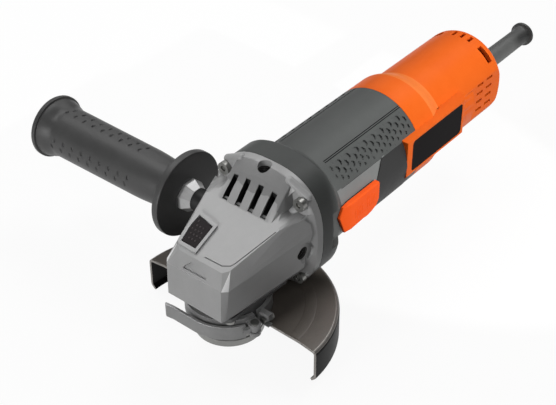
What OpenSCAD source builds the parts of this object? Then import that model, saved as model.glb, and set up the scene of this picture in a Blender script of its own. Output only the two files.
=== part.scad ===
// Corded angle grinder for 115 mm discs, millimetres.
// +X runs from the spindle to the cord end, +Y to the side handle, +Z up the spindle.
// The origin is on the spindle axis, on the face that a disc is clamped against.

/* [Drive] */
// Height of the motor axis above the disc seat
axis_z = 49.6; // [49:0.2:50.4]
// Radius of the spindle nose, M14
spindle_r = 7; // [6.8:0.1:7.2]
// Radius of the two disc flanges
flange_r = 20.5; // [19:0.5:21]
// Teeth of the crown wheel
crown_teeth = 37; // [35:1:39]
// Teeth of the pinion
pinion_teeth = 10; // [9:1:11]
// Cone distance of the outer ends of the gear teeth
cone_outer = 22.2; // [21.8:0.1:22.2]
// Share of the tooth pitch that is left free as backlash
backlash = 0.16; // [0.1:0.02:0.24]

/* [Gear case] */
// Front face of the gear case
case_front_x = -27.8; // [-30:0.2:-27]
// Half width of the gear case at its front face
case_front_half = 21.5; // [21:0.5:23]
// Half width of the gear case at the side handle
case_rear_half = 34; // [33:0.5:35]
// Underside of the gear case
case_floor_z = 26; // [26:0.2:27]
// Rear face of the gear case, where the motor housing starts
joint_x = 38.7; // [38.4:0.1:39]
// Half width of the flange where the two housings meet
flange_half_y = 37; // [36:0.5:38]
// Half height of the flange where the two housings meet
flange_half_z = 38.5; // [37.5:0.5:39]
// Number of cooling slots in the hood
louvre_count = 4; // [3:1:5]
// Width of one cooling slot
louvre_w = 3.6; // [2.6:0.2:4]

/* [Housings] */
// Outer radius of the barrel
barrel_r = 33; // [32.6:0.1:33.4]
// Where the motor housing ends and the rear housing starts
barrel_end_x = 139; // [138:0.5:140]
// Outer radius of the rear housing
rear_r = 29.5; // [29:0.1:30]
// Where the end cap starts
cap_x = 226; // [225:0.5:228]
// Rear face of the end cap
rear_end_x = 240; // [239:0.5:242]
// Wall thickness of the plastic housings
wall = 2.6; // [2.4:0.1:2.8]

/* [Guard] */
// Outer radius of the disc guard
guard_r = 63; // [62:0.5:66]
// Depth of the guard from its plate to the tip of its lip
guard_depth = 23.3; // [22:0.1:24]
// Sheet thickness of the guard
guard_t = 1.6; // [1.2:0.1:1.8]

/* [Side handle] */
// Distance of the handle axis behind the spindle
handle_x = 25; // [24.5:0.5:25.5]
// Height of the handle axis
handle_z = 47.8; // [47.5:0.1:48.2]
// Where the finger disc of the handle starts
handle_disc_y = 50.7; // [50:0.1:52]
// Outer end of the handle
handle_end_y = 165.8; // [155:0.2:175]
// Radius of the finger disc
handle_disc_r = 26.8; // [24:0.2:28]
// Radius of the grip
grip_r = 15.4; // [14.5:0.1:16]

/* [Cord end] */
// Tip of the strain relief sleeve
sleeve_end_x = 317; // [300:1:330]
// Height of the strain relief sleeve
sleeve_z = 42; // [40:0.5:46]

/* [Hidden] */
$fn = 64;

// ---- placing helpers -------------------------------------------------------------------

// A flat shape drawn as (y, z), extruded from x0 to x1
module extrude_x(x0, x1) {
    translate([x0, 0, 0]) rotate([90, 0, 90]) linear_extrude(x1 - x0) children();
}

// A flat shape drawn as (x, z), extruded from y0 to y1
module extrude_y(y0, y1) {
    translate([0, y1, 0]) rotate([90, 0, 0]) linear_extrude(y1 - y0) children();
}

// Moves a shape drawn round +Z on to the motor axis, its height along +X
module on_motor_axis() {
    translate([0, 0, axis_z]) rotate([0, 90, 0]) children();
}

// A ring or rod on the motor axis
module motor_ring(x0, x1, r_in, r_out) {
    on_motor_axis() translate([0, 0, x0]) difference() {
        cylinder(r = r_out, h = x1 - x0);
        if (r_in > 0) translate([0, 0, -1]) cylinder(r = r_in, h = x1 - x0 + 2);
    }
}

// Part of a ring on the motor axis; angles run from -Y (0) over +Z (90) to +Y (180)
module motor_sector(x0, x1, r_in, r_out, from, to) {
    on_motor_axis() rotate([0, 0, 270 - to]) rotate_extrude(angle = to - from)
        translate([r_in, x0]) square([r_out - r_in, x1 - x0]);
}

// A rod along Z
module post(x, y, z0, z1, r) {
    translate([x, y, z0]) cylinder(r = r, h = z1 - z0);
}

// A rod along X
module rod_x(x0, x1, y, z, r) {
    translate([x0, y, z]) rotate([0, 90, 0]) cylinder(r = r, h = x1 - x0);
}

// A rod along Y
module rod_y(x, z, y0, y1, r) {
    translate([x, y1, z]) rotate([90, 0, 0]) cylinder(r = r, h = y1 - y0);
}

// A box between two corners
module block(low, high) {
    translate(low) cube(high - low);
}

// Both sides of the tool
module both_sides() {
    children();
    mirror([0, 1, 0]) children();
}

// A rounded square outline: half sizes a and b, squareness n
function squircle(a, b, n, count = 56) = [for (i = [0 : count - 1])
    let (t = 360 * i / count)
    [a * sign(cos(t)) * pow(abs(cos(t)), 2 / n), b * sign(sin(t)) * pow(abs(sin(t)), 2 / n)]];

module flange_outline(grow = 0) {
    translate([0, axis_z])
        polygon(squircle(flange_half_y + grow, flange_half_z + grow, 2.6));
}

// ---- gear teeth ------------------------------------------------------------------------

pinion_pitch_angle = atan(pinion_teeth / crown_teeth);
crown_pitch_angle = 90 - pinion_pitch_angle;
cone_inner = 16;
tooth_module = 2 * cone_outer * sin(pinion_pitch_angle) / pinion_teeth;
addendum_angle = atan(0.85 * tooth_module / cone_outer);
dedendum_angle = atan(1.15 * tooth_module / cone_outer);

// A point at a distance from the gear apex, on a cone, turned round the gear axis.
// The apex is the origin and the gear lies below it, towards -Z.
function cone_point(distance, cone, turn) =
    [distance * sin(cone) * cos(turn), distance * sin(cone) * sin(turn), -distance * cos(cone)];

// Straight bevel teeth; `section` closes the blank under them, as (radius, height) from the
// inner end of the teeth round to their outer end
module bevel_teeth(teeth, pitch_angle, section, phase) {
    step = 360 / teeth;
    root_half = step * (0.36 - backlash / 2);
    tip_half = step * 0.12;
    turns = [for (k = [0 : teeth - 1], side = [-root_half, -tip_half, tip_half, root_half])
        phase + k * step + side];
    cones = [for (k = [0 : teeth - 1], side = [-1, 1, 1, -1])
        pitch_angle + (side < 0 ? -dedendum_angle : addendum_angle)];
    n = len(turns);
    m = len(section) + 2;
    points = [for (i = [0 : n - 1]) each concat(
        [cone_point(cone_outer, cones[i], turns[i]), cone_point(cone_inner, cones[i], turns[i])],
        [for (s = section) [s[0] * cos(turns[i]), s[0] * sin(turns[i]), s[1]]])];
    faces = [for (i = [0 : n - 1], s = [0 : m - 1])
        let (a = m * i, b = m * ((i + 1) % n), t = (s + 1) % m)
        each [[a + s, b + s, b + t], [a + s, b + t, a + t]]];
    polyhedron(points = points, faces = faces, convexity = 6);
}

// ---- springs ---------------------------------------------------------------------------

// A coil spring standing on z = 0, swept as one tube of eight sides
module coil_spring(r, wire, turns, height) {
    sides = 8;
    steps = turns * 14;
    rise = height - 2 * wire;
    points = [for (i = [0 : steps], k = [0 : sides - 1])
        let (turn = 360 * turns * i / steps, roll = 360 * k / sides, reach = r + wire * cos(roll))
        [reach * cos(turn), reach * sin(turn), wire + rise * i / steps + wire * sin(roll)]];
    around = [for (i = [0 : steps - 1], k = [0 : sides - 1])
        let (a = i * sides + k, b = i * sides + (k + 1) % sides)
        each [[a, a + sides, b + sides], [a, b + sides, b]]];
    first = [[for (k = [0 : sides - 1]) k]];
    last = [[for (k = [sides - 1 : -1 : 0]) steps * sides + k]];
    polyhedron(points = points, faces = concat(around, first, last), convexity = 8);
}

// ---- gear case -------------------------------------------------------------------------

plateau_front = [-20.5, 18.4, 55.6];
plateau_rear = [25, 29.4, 72];
shoulder_z = 47.6;
ring_front_x = 28;
hood_half = 17.2;
hood_foot_half = 20.4;
duct_half = 15.4;
screw_y = 27;
screw_dz = 25.7;
gear_room_r = 22.8;
gear_room_top = axis_z - 2.4;
lock_x = -6.6;
lock_y = 9.2;
top_hole_x = 33.4;
handle_seat_y = 33.4;

// A rounded bar that lies along the ring's edge, between two points of the +Y side
module ring_bar() {
    from = [33.9, 17.2, 84.9];
    to = [35.4, 28.6, 78.3];
    run = to - from;
    translate(from) rotate([0, acos(run[2] / norm(run)), atan2(run[1], run[0])]) {
        cylinder(r = 2.5, h = norm(run));
        sphere(r = 2.5);
        translate([0, 0, norm(run)]) sphere(r = 2.5);
    }
}

// Corners of the casting on its +Y side: the flat front with its bevelled corners, the
// bevel over it, the sloping plateau and the flared rear
case_corners = [
    [case_front_x, case_front_half - 2, case_floor_z],
    [case_front_x + 3, case_front_half - 0.6, case_floor_z + 0.4],
    [case_front_x + 0.7, case_front_half - 1.8, shoulder_z],
    [case_front_x + 3.8, case_front_half + 0.9, shoulder_z - 0.4],
    [plateau_front[0] - 0.9, plateau_front[1] - 2.8, plateau_front[2] - 0.6],
    [plateau_front[0] + 2.4, plateau_front[1] + 0.5, plateau_front[2] + 0.8],
    plateau_rear,
    [plateau_rear[0] + 5.4, case_rear_half + 0.4, 65.4],
    [plateau_rear[0] + 5.4, case_rear_half + 1.8, 59.8],
    [plateau_rear[0] + 3.4, case_rear_half + 1.2, 55.6],
    [plateau_rear[0] + 1, case_rear_half - 0.4, 37],
    [plateau_rear[0] + 1, case_rear_half - 7.5, case_floor_z]];

module case_body() {
    corners = concat(case_corners, [for (c = case_corners) [c[0], -c[1], c[2]]]);
    hull() polyhedron(points = corners, faces = [for (i = [0 : len(corners) - 3]) [i, i + 1, i + 2]]);
}

// The bevelled ring that meets the motor housing
module case_ring() {
    hull() {
        extrude_x(joint_x - 5, joint_x) flange_outline();
        extrude_x(ring_front_x, ring_front_x + 1) translate([0, axis_z])
            polygon(squircle(flange_half_y - 3.5, flange_half_z - 9, 2.8));
    }
}

// The raised hood over the cooling slots: a sloping front, an arched top that runs back to
// the ring, and flanks that lean outwards
hood_corners = [
    [14.6, hood_half, 67.8], [12.9, hood_foot_half - 0.4, 66.6],
    [24.6, 0, 80.1], [24.6, 9, 79.5], [24.6, hood_half, 77.7],
    [31.4, 0, 84.4], [31.4, 10, 83.6], [31.2, hood_half + 0.8, 81.2],
    [joint_x - 1, 0, 87.2], [joint_x - 1, 11, 86.2], [joint_x - 1, hood_half + 1.6, 83.2],
    [joint_x - 1, hood_foot_half + 1, 74], [27, hood_foot_half + 0.6, 71], [joint_x - 1, 8, 60]];

module case_hood() {
    corners = concat(hood_corners, [for (c = hood_corners) [c[0], -c[1], c[2]]]);
    hull() polyhedron(points = corners, faces = [for (i = [0 : len(corners) - 3]) [i, i + 1, i + 2]]);
}

module louvre_cuts() {
    pitch = 2 * (hood_half - 3.6) / (louvre_count - 1);
    for (i = [0 : louvre_count - 1])
        translate([0, (i - (louvre_count - 1) / 2) * pitch, 0])
            extrude_y(-louvre_w / 2, louvre_w / 2)
                polygon([[12, 68.4], [19, 68.4], [26.4, 74.6], [24.7, 84], [12, 84]]);
}

// The seat of the lock button: a shaft of the button's outline, then the pin's guide
module lock_outline(grow) {
    offset(delta = grow) polygon([[-17.4, 6.9], [-2.6, 7.4], [-0.4, 18.6], [-7, 18.8], [-17.2, 17]]);
}

module case_inside() {
    // gear room, open below
    post(0, 0, case_floor_z - 1, gear_room_top, gear_room_r);
    // upper spindle bearing
    post(0, 0, gear_room_top - 1, axis_z + 9, 6);
    // pinion room and front armature bearing seat
    motor_ring(8, 26.1, 0, 9.5);
    motor_ring(26, joint_x + 1, 0, 13);
    // fan room behind the bearing seat
    motor_ring(35.7, joint_x + 1, 0, 30.5);
    // air duct up to the cooling slots
    extrude_y(-duct_half, duct_half) polygon([[17.6, 64.4], [17.6, 68.1], [26.2, 76], [joint_x - 2, 78.8],
        [joint_x - 2, 77], [joint_x + 1, 77], [joint_x + 1, 64.4]]);
}

module gear_case() {
    color("darkgray") difference() {
        union() {
            case_body();
            intersection() {
                union() {
                    case_ring();
                    case_hood();
                }
                block([-40, -50, 14], [joint_x + 5, 50, 120]);
            }
            // raised rim round the lock button
            intersection() {
                translate([0, 0, 40]) linear_extrude(40) lock_outline(2.2);
                translate([0, 0, 1.5]) case_body();
            }
            // raised bars on the ring, over the screw pockets
            both_sides() ring_bar();
        }
        case_inside();
        louvre_cuts();
        // handle holes with their machined seats: one on each side and one on top, M8
        both_sides() {
            rod_y(handle_x, handle_z, case_rear_half - 11, case_rear_half + 3, 4.05);
            rod_y(handle_x, handle_z, handle_seat_y, case_rear_half + 6, 7.4);
        }
        post(top_hole_x, 0, 76, 95, 4.05);
        // flange screws and their pockets
        both_sides() for (dz = [-screw_dz, screw_dz]) {
            rod_x(0, joint_x + 1, screw_y, axis_z + dz, 2.1);
            rod_x(14, 32, screw_y, axis_z + dz, dz > 0 ? 7.6 : 6.2);
        }
        // lock button shaft and pin guide
        translate([0, 0, 51.2]) linear_extrude(30) lock_outline(0.35);
        post(lock_x, lock_y, 40, 60, 2.5);
        post(lock_x, lock_y, 49.4, 60, 4.2);
        // groove round the plateau
        plateau_groove();
        // shallow rotation arrow in the front bevel
        rotation_arrow();
        // threads for the bearing cap
        for (x = [-19.5, 19.5], y = [-18.6, 18.6]) post(x, y, case_floor_z - 1, case_floor_z + 9, 1.7);
    }
}

plateau_slope = atan2(plateau_rear[2] - plateau_front[2], plateau_rear[0] - plateau_front[0]);

// A thin groove that follows the plateau's outline, 4 mm inside its edge
module plateau_groove() {
    inner = [[-18.2, -1], [-18, -13], [-15.6, -17.2], [-13, -18.4], [13.4, -25.4]];
    for (i = [0 : len(inner) - 2]) {
        a = inner[i];
        b = inner[i + 1];
        run = b - a;
        translate([plateau_front[0], 0, plateau_front[2]]) rotate([0, -plateau_slope, 0])
            translate([a[0] - plateau_front[0], a[1], -0.9])
                rotate([0, 0, atan2(run[1], run[0])])
                    translate([-0.3, -0.35, 0]) cube([norm(run) + 0.6, 0.7, 4]);
    }
}

module rotation_arrow() {
    bevel = atan2(plateau_front[2] - shoulder_z, plateau_front[0] - case_front_x - 0.7);
    translate([-25.4, 0, 49.8]) rotate([0, -bevel, 0]) translate([0, 0, -1]) linear_extrude(4)
        polygon([[-1, -8], [1, -8], [1, 4.8], [3.6, 2.2], [3.6, 5], [0.2, 8.4], [-1, 8.4]]);
}

module gear_case_screws() {
    color("silver") both_sides() for (dz = [-screw_dz, screw_dz]) {
        difference() {
            rod_x(28.8, 32, screw_y, axis_z + dz, 3.8);
            translate([28, screw_y, axis_z + dz]) rotate([0, 90, 0])
                cylinder(r = 1.9, h = 2.4, $fn = 6);
        }
        rod_x(31.9, 51, screw_y, axis_z + dz, 2);
    }
}

// ---- spindle end -----------------------------------------------------------------------

neck_r = 22.3;
neck_low = 9.2;
cap_plate_t = 3;
lower_bearing = [12.2, 22.2];

module bearing_cap() {
    color("dimgray") difference() {
        union() {
            translate([0, 0, case_floor_z - cap_plate_t]) linear_extrude(cap_plate_t)
                polygon([[-25.2, -19], [-22, -22], [22, -24.5], [25, -22], [25, 22], [22, 24.5],
                    [-22, 22], [-25.2, 19]]);
            post(0, 0, neck_low, case_floor_z - 1, neck_r);
            post(0, 0, case_floor_z - 1, case_floor_z + 2, gear_room_r - 0.1);
        }
        // lower bearing, opened from above, and the lip under it
        post(0, 0, lower_bearing[0], case_floor_z + 3, 16.05);
        post(0, 0, neck_low - 1, 30, 13);
        for (x = [-19.5, 19.5], y = [-18.6, 18.6]) post(x, y, 10, 40, 1.8);
    }
}

module bearing_cap_screws() {
    color("silver") for (x = [-19.5, 19.5], y = [-18.6, 18.6]) {
        difference() {
            post(x, y, case_floor_z - cap_plate_t - 2.4, case_floor_z - cap_plate_t, 3);
            translate([x, y, 20]) cylinder(r = 1.5, h = 2, $fn = 6);
        }
        post(x, y, case_floor_z - cap_plate_t - 0.1, case_floor_z + 8, 1.65);
    }
}

module dust_seal() {
    color("black") post_ring(neck_low + 0.3, lower_bearing[0] - 0.2, 9.4, 13);
}

// A ring round the spindle
module post_ring(z0, z1, r_in, r_out) {
    difference() {
        post(0, 0, z0, z1, r_out);
        post(0, 0, z0 - 1, z1 + 1, r_in);
    }
}

// A ball bearing as its two rings and shields in one piece
module bearing_section(r_in, r_out, width) {
    ring = (r_out - r_in) * 0.24;
    rotate_extrude() polygon([[r_in, 0], [r_in + ring, 0], [r_in + ring, 0.5],
        [r_out - ring, 0.5], [r_out - ring, 0], [r_out, 0], [r_out, width], [r_out - ring, width],
        [r_out - ring, width - 0.5], [r_in + ring, width - 0.5], [r_in + ring, width], [r_in, width]]);
}

module spindle_bearing_lower() {
    color("lightgray") translate([0, 0, lower_bearing[0]])
        bearing_section(6.03, 16, lower_bearing[1] - lower_bearing[0]);
}

module spindle_bearing_upper() {
    color("lightgray") post_ring(axis_z - 1.2, axis_z + 9, 4.03, 6);
}

crown_back_z = axis_z - 12.6;
web_t = 4.4;

module spindle() {
    color("silver") {
        post(0, 0, -8.5, 8.4, spindle_r);
        post(0, 0, 8.4, 12.1, 8.8);
        post(0, 0, 12, crown_back_z + web_t, 5.99);
        post(0, 0, crown_back_z + web_t - 0.1, axis_z + 8.4, 4);
    }
}

// Crown wheel: toothed ring on a web with a hub and four lock holes
module crown_gear() {
    root_cone = crown_pitch_angle - dedendum_angle;
    back = crown_back_z - axis_z;
    color("gray") difference() {
        translate([0, 0, axis_z]) bevel_teeth(crown_teeth, crown_pitch_angle, [
            [14.8, -cone_inner * cos(root_cone) - 1], [14.8, back + web_t], [6, back + web_t],
            [6, back - 4], [8, back - 4], [8, back], [20, back],
            [cone_outer * sin(root_cone), back + 2]], 180 / crown_teeth);
        for (k = [0 : 3]) rotate([0, 0, atan2(lock_y, lock_x) + 90 * k])
            post(norm([lock_x, lock_y]), 0, 20, 60, 3);
    }
}

module gear_circlip() {
    color("silver") difference() {
        post_ring(crown_back_z + web_t, crown_back_z + web_t + 1.2, 4, 7.4);
        block([3, -1.6, 20], [9, 1.6, 60]);
    }
}

module inner_flange() {
    color("gray") difference() {
        rotate_extrude() polygon([[spindle_r, 0], [flange_r - 0.6, 0], [flange_r, 0.6],
            [flange_r, 4.6], [flange_r - 1.6, 6], [12.5, 6], [11.5, 8.4], [spindle_r, 8.4]]);
        // relief in the clamping face
        translate([0, 0, -1]) rotate_extrude() translate([10.5, 0]) square([4, 1.6]);
    }
}

module clamp_nut() {
    color("gray") difference() {
        rotate_extrude() polygon([[spindle_r, -5.7], [flange_r - 1, -5.7], [flange_r, -4.7],
            [flange_r, -0.6], [flange_r - 0.6, 0], [spindle_r, 0]]);
        for (s = [-1, 1]) post(s * 15, 0, -7, -1.5, 2.5);
    }
}

// ---- spindle lock ----------------------------------------------------------------------

module lock_button() {
    color([0.17, 0.16, 0.17]) difference() {
        intersection() {
            translate([0, 0, 54.6]) linear_extrude(20) lock_outline(0);
            translate([plateau_front[0], 0, plateau_front[2]]) rotate([0, -plateau_slope, 0])
                translate([-5, -5, -14]) cube([40, 40, 15]);
        }
        post(lock_x, lock_y, 50, 57.4, 2.4);
    }
}

module lock_pin() {
    color("silver") post(lock_x, lock_y, crown_back_z + 8.2, 57.4, 2.4);
}

module lock_spring() {
    color("silver") translate([lock_x, lock_y, 49.4]) coil_spring(3.3, 0.4, 3.5, 5.2);
}

// ---- armature --------------------------------------------------------------------------

core_x = [66, 110];
core_r = 16.2;
commutator_x = [121, 133];
commutator_r = 12;
rear_bearing_x = [137.6, 144.6];
brush_x = 127;
slot_count = 12;

pinion_back = cone_outer * cos(pinion_pitch_angle) + 1.2;

module armature_shaft() {
    color("silver") {
        motor_ring(10.6, pinion_back + 0.1, 0, 2.48);
        motor_ring(pinion_back, 34.3, 0, 4.48);
        motor_ring(34.2, rear_bearing_x[0], 0, 4.97);
        motor_ring(rear_bearing_x[0] - 0.1, rear_bearing_x[1] + 0.6, 0, 4);
    }
}

module slot_shapes(grow) {
    for (k = [0 : slot_count - 1]) rotate(k * 360 / slot_count + 15)
        translate([10 - grow, -1.6 - grow]) square([6.6 + 2 * grow, 3.2 + 2 * grow]);
}

module armature_core() {
    color("slategray") extrude_x(core_x[0], core_x[1]) translate([0, axis_z]) difference() {
        circle(r = core_r);
        circle(r = 5);
        slot_shapes(0);
    }
}

// Copper in the slots, joined by the rounded end windings
module armature_windings() {
    color("chocolate") {
        extrude_x(core_x[0] - 1, core_x[1] + 1) translate([0, axis_z]) intersection() {
            circle(r = core_r - 0.5);
            slot_shapes(-0.1);
        }
        for (end = [[core_x[0] - 6.5, core_x[0] - 0.1], [core_x[1] + 0.1, core_x[1] + 8]])
            on_motor_axis() rotate_extrude() polygon([[5.6, end[0]], [12, end[0]],
                [14.6, end[0] + 2.4], [14.6, end[1] - 2.4], [14, end[1]], [5.6, end[1]]]);
    }
}

module commutator() {
    bars = 24;
    color("peru") extrude_x(commutator_x[0], commutator_x[1]) translate([0, axis_z]) difference() {
        circle(r = commutator_r);
        circle(r = 5);
        for (k = [0 : bars - 1]) rotate(k * 360 / bars)
            translate([commutator_r - 1.2, -0.25]) square([3, 0.5]);
    }
}

module pinion() {
    color("gray") translate([0, 0, axis_z]) rotate([0, -90, 0])
        bevel_teeth(pinion_teeth, pinion_pitch_angle, [
            [2.5, -cone_inner * cos(pinion_pitch_angle)], [2.5, -pinion_back],
            [cone_outer * sin(pinion_pitch_angle - dedendum_angle), -pinion_back]], 0);
}

module pinion_nut() {
    color("silver") difference() {
        on_motor_axis() translate([0, 0, 11.4]) cylinder(r = 3.9, h = 3.8, $fn = 6);
        motor_ring(5, 20, 0, 2.5);
    }
}

fan_x = [40.6, 51.6];

// Centrifugal fan: back plate on the motor side, blades swept back
module cooling_fan() {
    color("black") {
        motor_ring(fan_x[1] - 1.6, fan_x[1], 5, 28.4);
        motor_ring(fan_x[0] - 1, fan_x[1], 5, 9);
        extrude_x(fan_x[0], fan_x[1] - 1) translate([0, axis_z]) for (k = [0 : 13])
            rotate(k * 360 / 14) intersection() {
                difference() {
                    translate([13, -15]) circle(r = 18);
                    translate([13, -15]) circle(r = 16.6);
                    circle(r = 11);
                }
                circle(r = 28);
                translate([8, -6]) square([24, 24]);
            }
    }
}

module armature_bearing_front() {
    color("lightgray") on_motor_axis() translate([0, 0, 26]) bearing_section(4.5, 13, 8);
}

module armature_bearing_rear() {
    color("lightgray") on_motor_axis() translate([0, 0, rear_bearing_x[0]])
        bearing_section(4, 11, rear_bearing_x[1] - rear_bearing_x[0]);
}

module bearing_retainer() {
    color("silver") motor_ring(34, 35.6, 6, 12.9);
}

module fan_baffle() {
    color("black") {
        motor_ring(53, 55, 19, 30.95);
        motor_ring(53, 58, 19, 20.4);
    }
}

// ---- motor housing ---------------------------------------------------------------------

fillet_x = [53, 61];
barrel_in = 31;
grip_x = [95, 129.4];
grip_angle = [-34, 29];
switch_x = [57, 93];
switch_travel = 5;
switch_flat_y = -32.5;
pad_y = -33.3;
pad_x = [124.8, 186.6];
pad_z = [41.4, 66.4];
label_x = [130, 183.8];
label_z = [43, 64.9];

// The raised pad that carries the label plate, as an outer form: a level ledge on top, a
// slanted rear end and a sloping underside
module label_pad(grow = 0) {
    hull() {
        block([pad_x[0] + 1.4 - grow, -28, pad_z[0] - 5.4 - grow],
            [pad_x[1] + 5.6 + grow, -23.4, pad_z[1] - 0.6 + grow]);
        block([pad_x[0] - grow, pad_y + 0.25, pad_z[0] - grow],
            [pad_x[1] + grow, -28, pad_z[1] + grow]);
        block([pad_x[0] + 0.8 - grow, pad_y, pad_z[0] + 0.6 - grow],
            [pad_x[1] - 0.8 + grow, pad_y + 0.5, pad_z[1] - 0.8 + grow]);
    }
}

module motor_housing_outer() {
    intersection() {
        union() {
            hull() {
                extrude_x(joint_x, fillet_x[0]) flange_outline();
                extrude_x(fillet_x[0], fillet_x[0] + 2) flange_outline(-0.8);
                extrude_x(fillet_x[0] + 2, fillet_x[0] + 3.2) flange_outline(-2.2);
            }
            hull() {
                extrude_x(joint_x + 6, fillet_x[0] + 3) flange_outline(-3);
                motor_ring(50, fillet_x[1], 0, barrel_r);
            }
            motor_ring(joint_x, barrel_end_x, 0, barrel_r);
        }
        block([joint_x, -60, 14], [barrel_end_x, 60, 120]);
    }
}

module motor_housing() {
    color([0.32, 0.33, 0.33]) difference() {
        union() {
            difference() {
                motor_housing_outer();
                motor_ring(joint_x - 1, barrel_end_x - 5, 0, barrel_in - 0.4);
                motor_ring(joint_x - 1, 56, 0, barrel_in);
                motor_ring(barrel_end_x - 6, barrel_end_x + 1, 0, barrel_in - 0.4);
            }
            // spider with the rear bearing seat
            for (a = [45 : 90 : 315]) on_motor_axis() rotate([0, 0, a])
                translate([12, -3, barrel_end_x - 4]) cube([barrel_r - 14, 6, 4]);
            motor_ring(barrel_end_x - 4, rear_bearing_x[1] + 0.4, 11, 14.4);
            motor_ring(barrel_end_x - 4, rear_bearing_x[0], 8, 12);
            // ribs that hold the field
            for (a = [45 : 90 : 315]) on_motor_axis() rotate([0, 0, a])
                translate([28.5, -3, 60]) cube([3, 6, 54]);
            // sockets of the brush holders
            for (upper = [true, false]) brush_part(upper)
                block([brush_x - 6.6, -7.6, 25], [brush_x + 6.6, 7.6, barrel_in]);
        }
        for (upper = [true, false]) brush_part(upper)
            block([brush_x - brush_half[0] - 1.4, -brush_half[1] - 1.4, 20],
                [brush_x + brush_half[0] + 1.4, brush_half[1] + 1.4, holder_out]);
        // flange screws
        both_sides() for (dz = [-screw_dz, screw_dz])
            rod_x(joint_x - 1, 52, screw_y, axis_z + dz, 2.1);
        // flats behind the switch and above it
        block([switch_x[0] - 9, -60, axis_z - 11.4], [switch_x[1] + 3, switch_flat_y, axis_z + 11.4]);
        on_motor_axis() rotate([0, 0, 270 - 21.5]) translate([barrel_r - 0.4, -30, 62])
            cube([5, 60, grip_x[0] + 12 - 62]);
        // slot for the switch stem
        block([66, -40, axis_z - 3.2], [87, -27, axis_z + 3.2]);
        // recesses for the side grips and the label pad
        both_sides() intersection() {
            motor_sector(grip_x[0] - 0.1, grip_x[1], barrel_r - 1.4, 40, grip_angle[0], grip_angle[1]);
            grip_window();
        }
        intersection() {
            label_pad(0.01);
            block([100, -60, 0], [barrel_end_x + 1, -10, 120]);
        }
        // pinstripe grooves
        for (a = [60, 62, 118, 120])
            motor_sector(66, barrel_end_x + 1, barrel_r - 0.5, 40, a - 0.5, a + 0.5);
    }
}

// The panel's outline seen from the side: its front edge slants above the switch
module grip_window() {
    extrude_y(-60, 60) polygon([[grip_x[0], 0], [grip_x[0], axis_z + 7], [grip_x[0] + 9.4, axis_z + 17],
        [grip_x[0] + 9.4, axis_z + 30], [grip_x[1] + 1, axis_z + 30], [grip_x[1] + 1, 0]]);
}

module side_grip() {
    intersection() {
        motor_sector(grip_x[0] - 0.1, grip_x[1], barrel_r - 1.4, barrel_r + 0.2, grip_angle[0],
            grip_angle[1]);
        grip_window();
    }
}

module side_grip_right() {
    color([0.16, 0.16, 0.16]) difference() {
        side_grip();
        label_pad(0.01);
    }
}

module side_grip_left() {
    color([0.16, 0.16, 0.16]) mirror([0, 1, 0]) side_grip();
}

module field_outline() {
    difference() {
        intersection() {
            circle(r = 28.4);
            square([55.4, 60], center = true);
        }
        circle(r = core_r + 0.7);
        for (a = [38, 142, 218, 322]) rotate(a) translate([14, -3.4]) square([9.4, 6.8]);
    }
}

module field_core() {
    color("slategray") extrude_x(core_x[0] - 1, core_x[1] + 1) translate([0, axis_z])
        field_outline();
}

// Two coils: straight sides in the windows, curved end turns
module field_windings() {
    color("chocolate") for (top = [0, 1]) {
        extrude_x(core_x[0] - 6, core_x[1] + 6) translate([0, axis_z]) rotate(top * 180)
            for (a = [38, 142]) rotate(a) translate([17.2, -3.3]) square([6, 6.6]);
        for (x = [[core_x[0] - 5.7, core_x[0] - 1.1], [core_x[1] + 1.1, core_x[1] + 5.7]])
            motor_sector(x[0], x[1], 18.2, 22.6, 38 + top * 180, 142 + top * 180);
    }
}

// ---- brushes ---------------------------------------------------------------------------

brush_half = [3.1, 4.2];
brush_len = 10;
holder_out = 29.4;

module brush_part(upper) {
    translate([0, 0, axis_z]) mirror([0, 0, upper ? 0 : 1]) children();
}

module brush_holders() {
    color("peru") for (upper = [true, false]) brush_part(upper) difference() {
        block([brush_x - brush_half[0] - 1.4, -brush_half[1] - 1.4, commutator_r + 1.6],
            [brush_x + brush_half[0] + 1.4, brush_half[1] + 1.4, holder_out]);
        block([brush_x - brush_half[0] - 0.1, -brush_half[1] - 0.1, 0],
            [brush_x + brush_half[0] + 0.1, brush_half[1] + 0.1, holder_out - 1]);
    }
}

module brush() {
    block([brush_x - brush_half[0], -brush_half[1], commutator_r + 0.1],
        [brush_x + brush_half[0], brush_half[1], commutator_r + 0.1 + brush_len]);
}

module brush_upper() {
    color("black") brush_part(true) brush();
}

module brush_lower() {
    color("black") brush_part(false) brush();
}

module brush_spring() {
    translate([brush_x, 0, commutator_r + 0.1 + brush_len])
        coil_spring(2.2, 0.3, 4, holder_out - 1 - commutator_r - 0.1 - brush_len);
}

module brush_spring_upper() {
    color("silver") brush_part(true) brush_spring();
}

module brush_spring_lower() {
    color("silver") brush_part(false) brush_spring();
}

// ---- rear housing ----------------------------------------------------------------------

step_x = [158, 169];
vent_flat_y = 26.9;
vent_x = 205;
vent_z = [-14.2, 13.6];

// Outline of the rear housings as (radius, x), with the soft step behind the barrel
function rear_profile(shrink, end_x) = concat(
    [[0, barrel_end_x], [barrel_r - shrink, barrel_end_x], [barrel_r - shrink, step_x[0]]],
    [for (i = [1 : 7]) let (t = i / 8)
        [barrel_r - shrink - (barrel_r - rear_r) * (3 * t * t - 2 * t * t * t),
            step_x[0] + (step_x[1] - step_x[0]) * t]],
    [[rear_r - shrink, step_x[1]]],
    [for (a = [0 : 15 : 90])
        [rear_r - 5.5 + (5.5 - shrink * (5.5 / rear_r)) * cos(a) - shrink * (1 - 5.5 / rear_r),
            end_x - 5.5 + 5.5 * sin(a)]],
    [[0, end_x]]);

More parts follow.
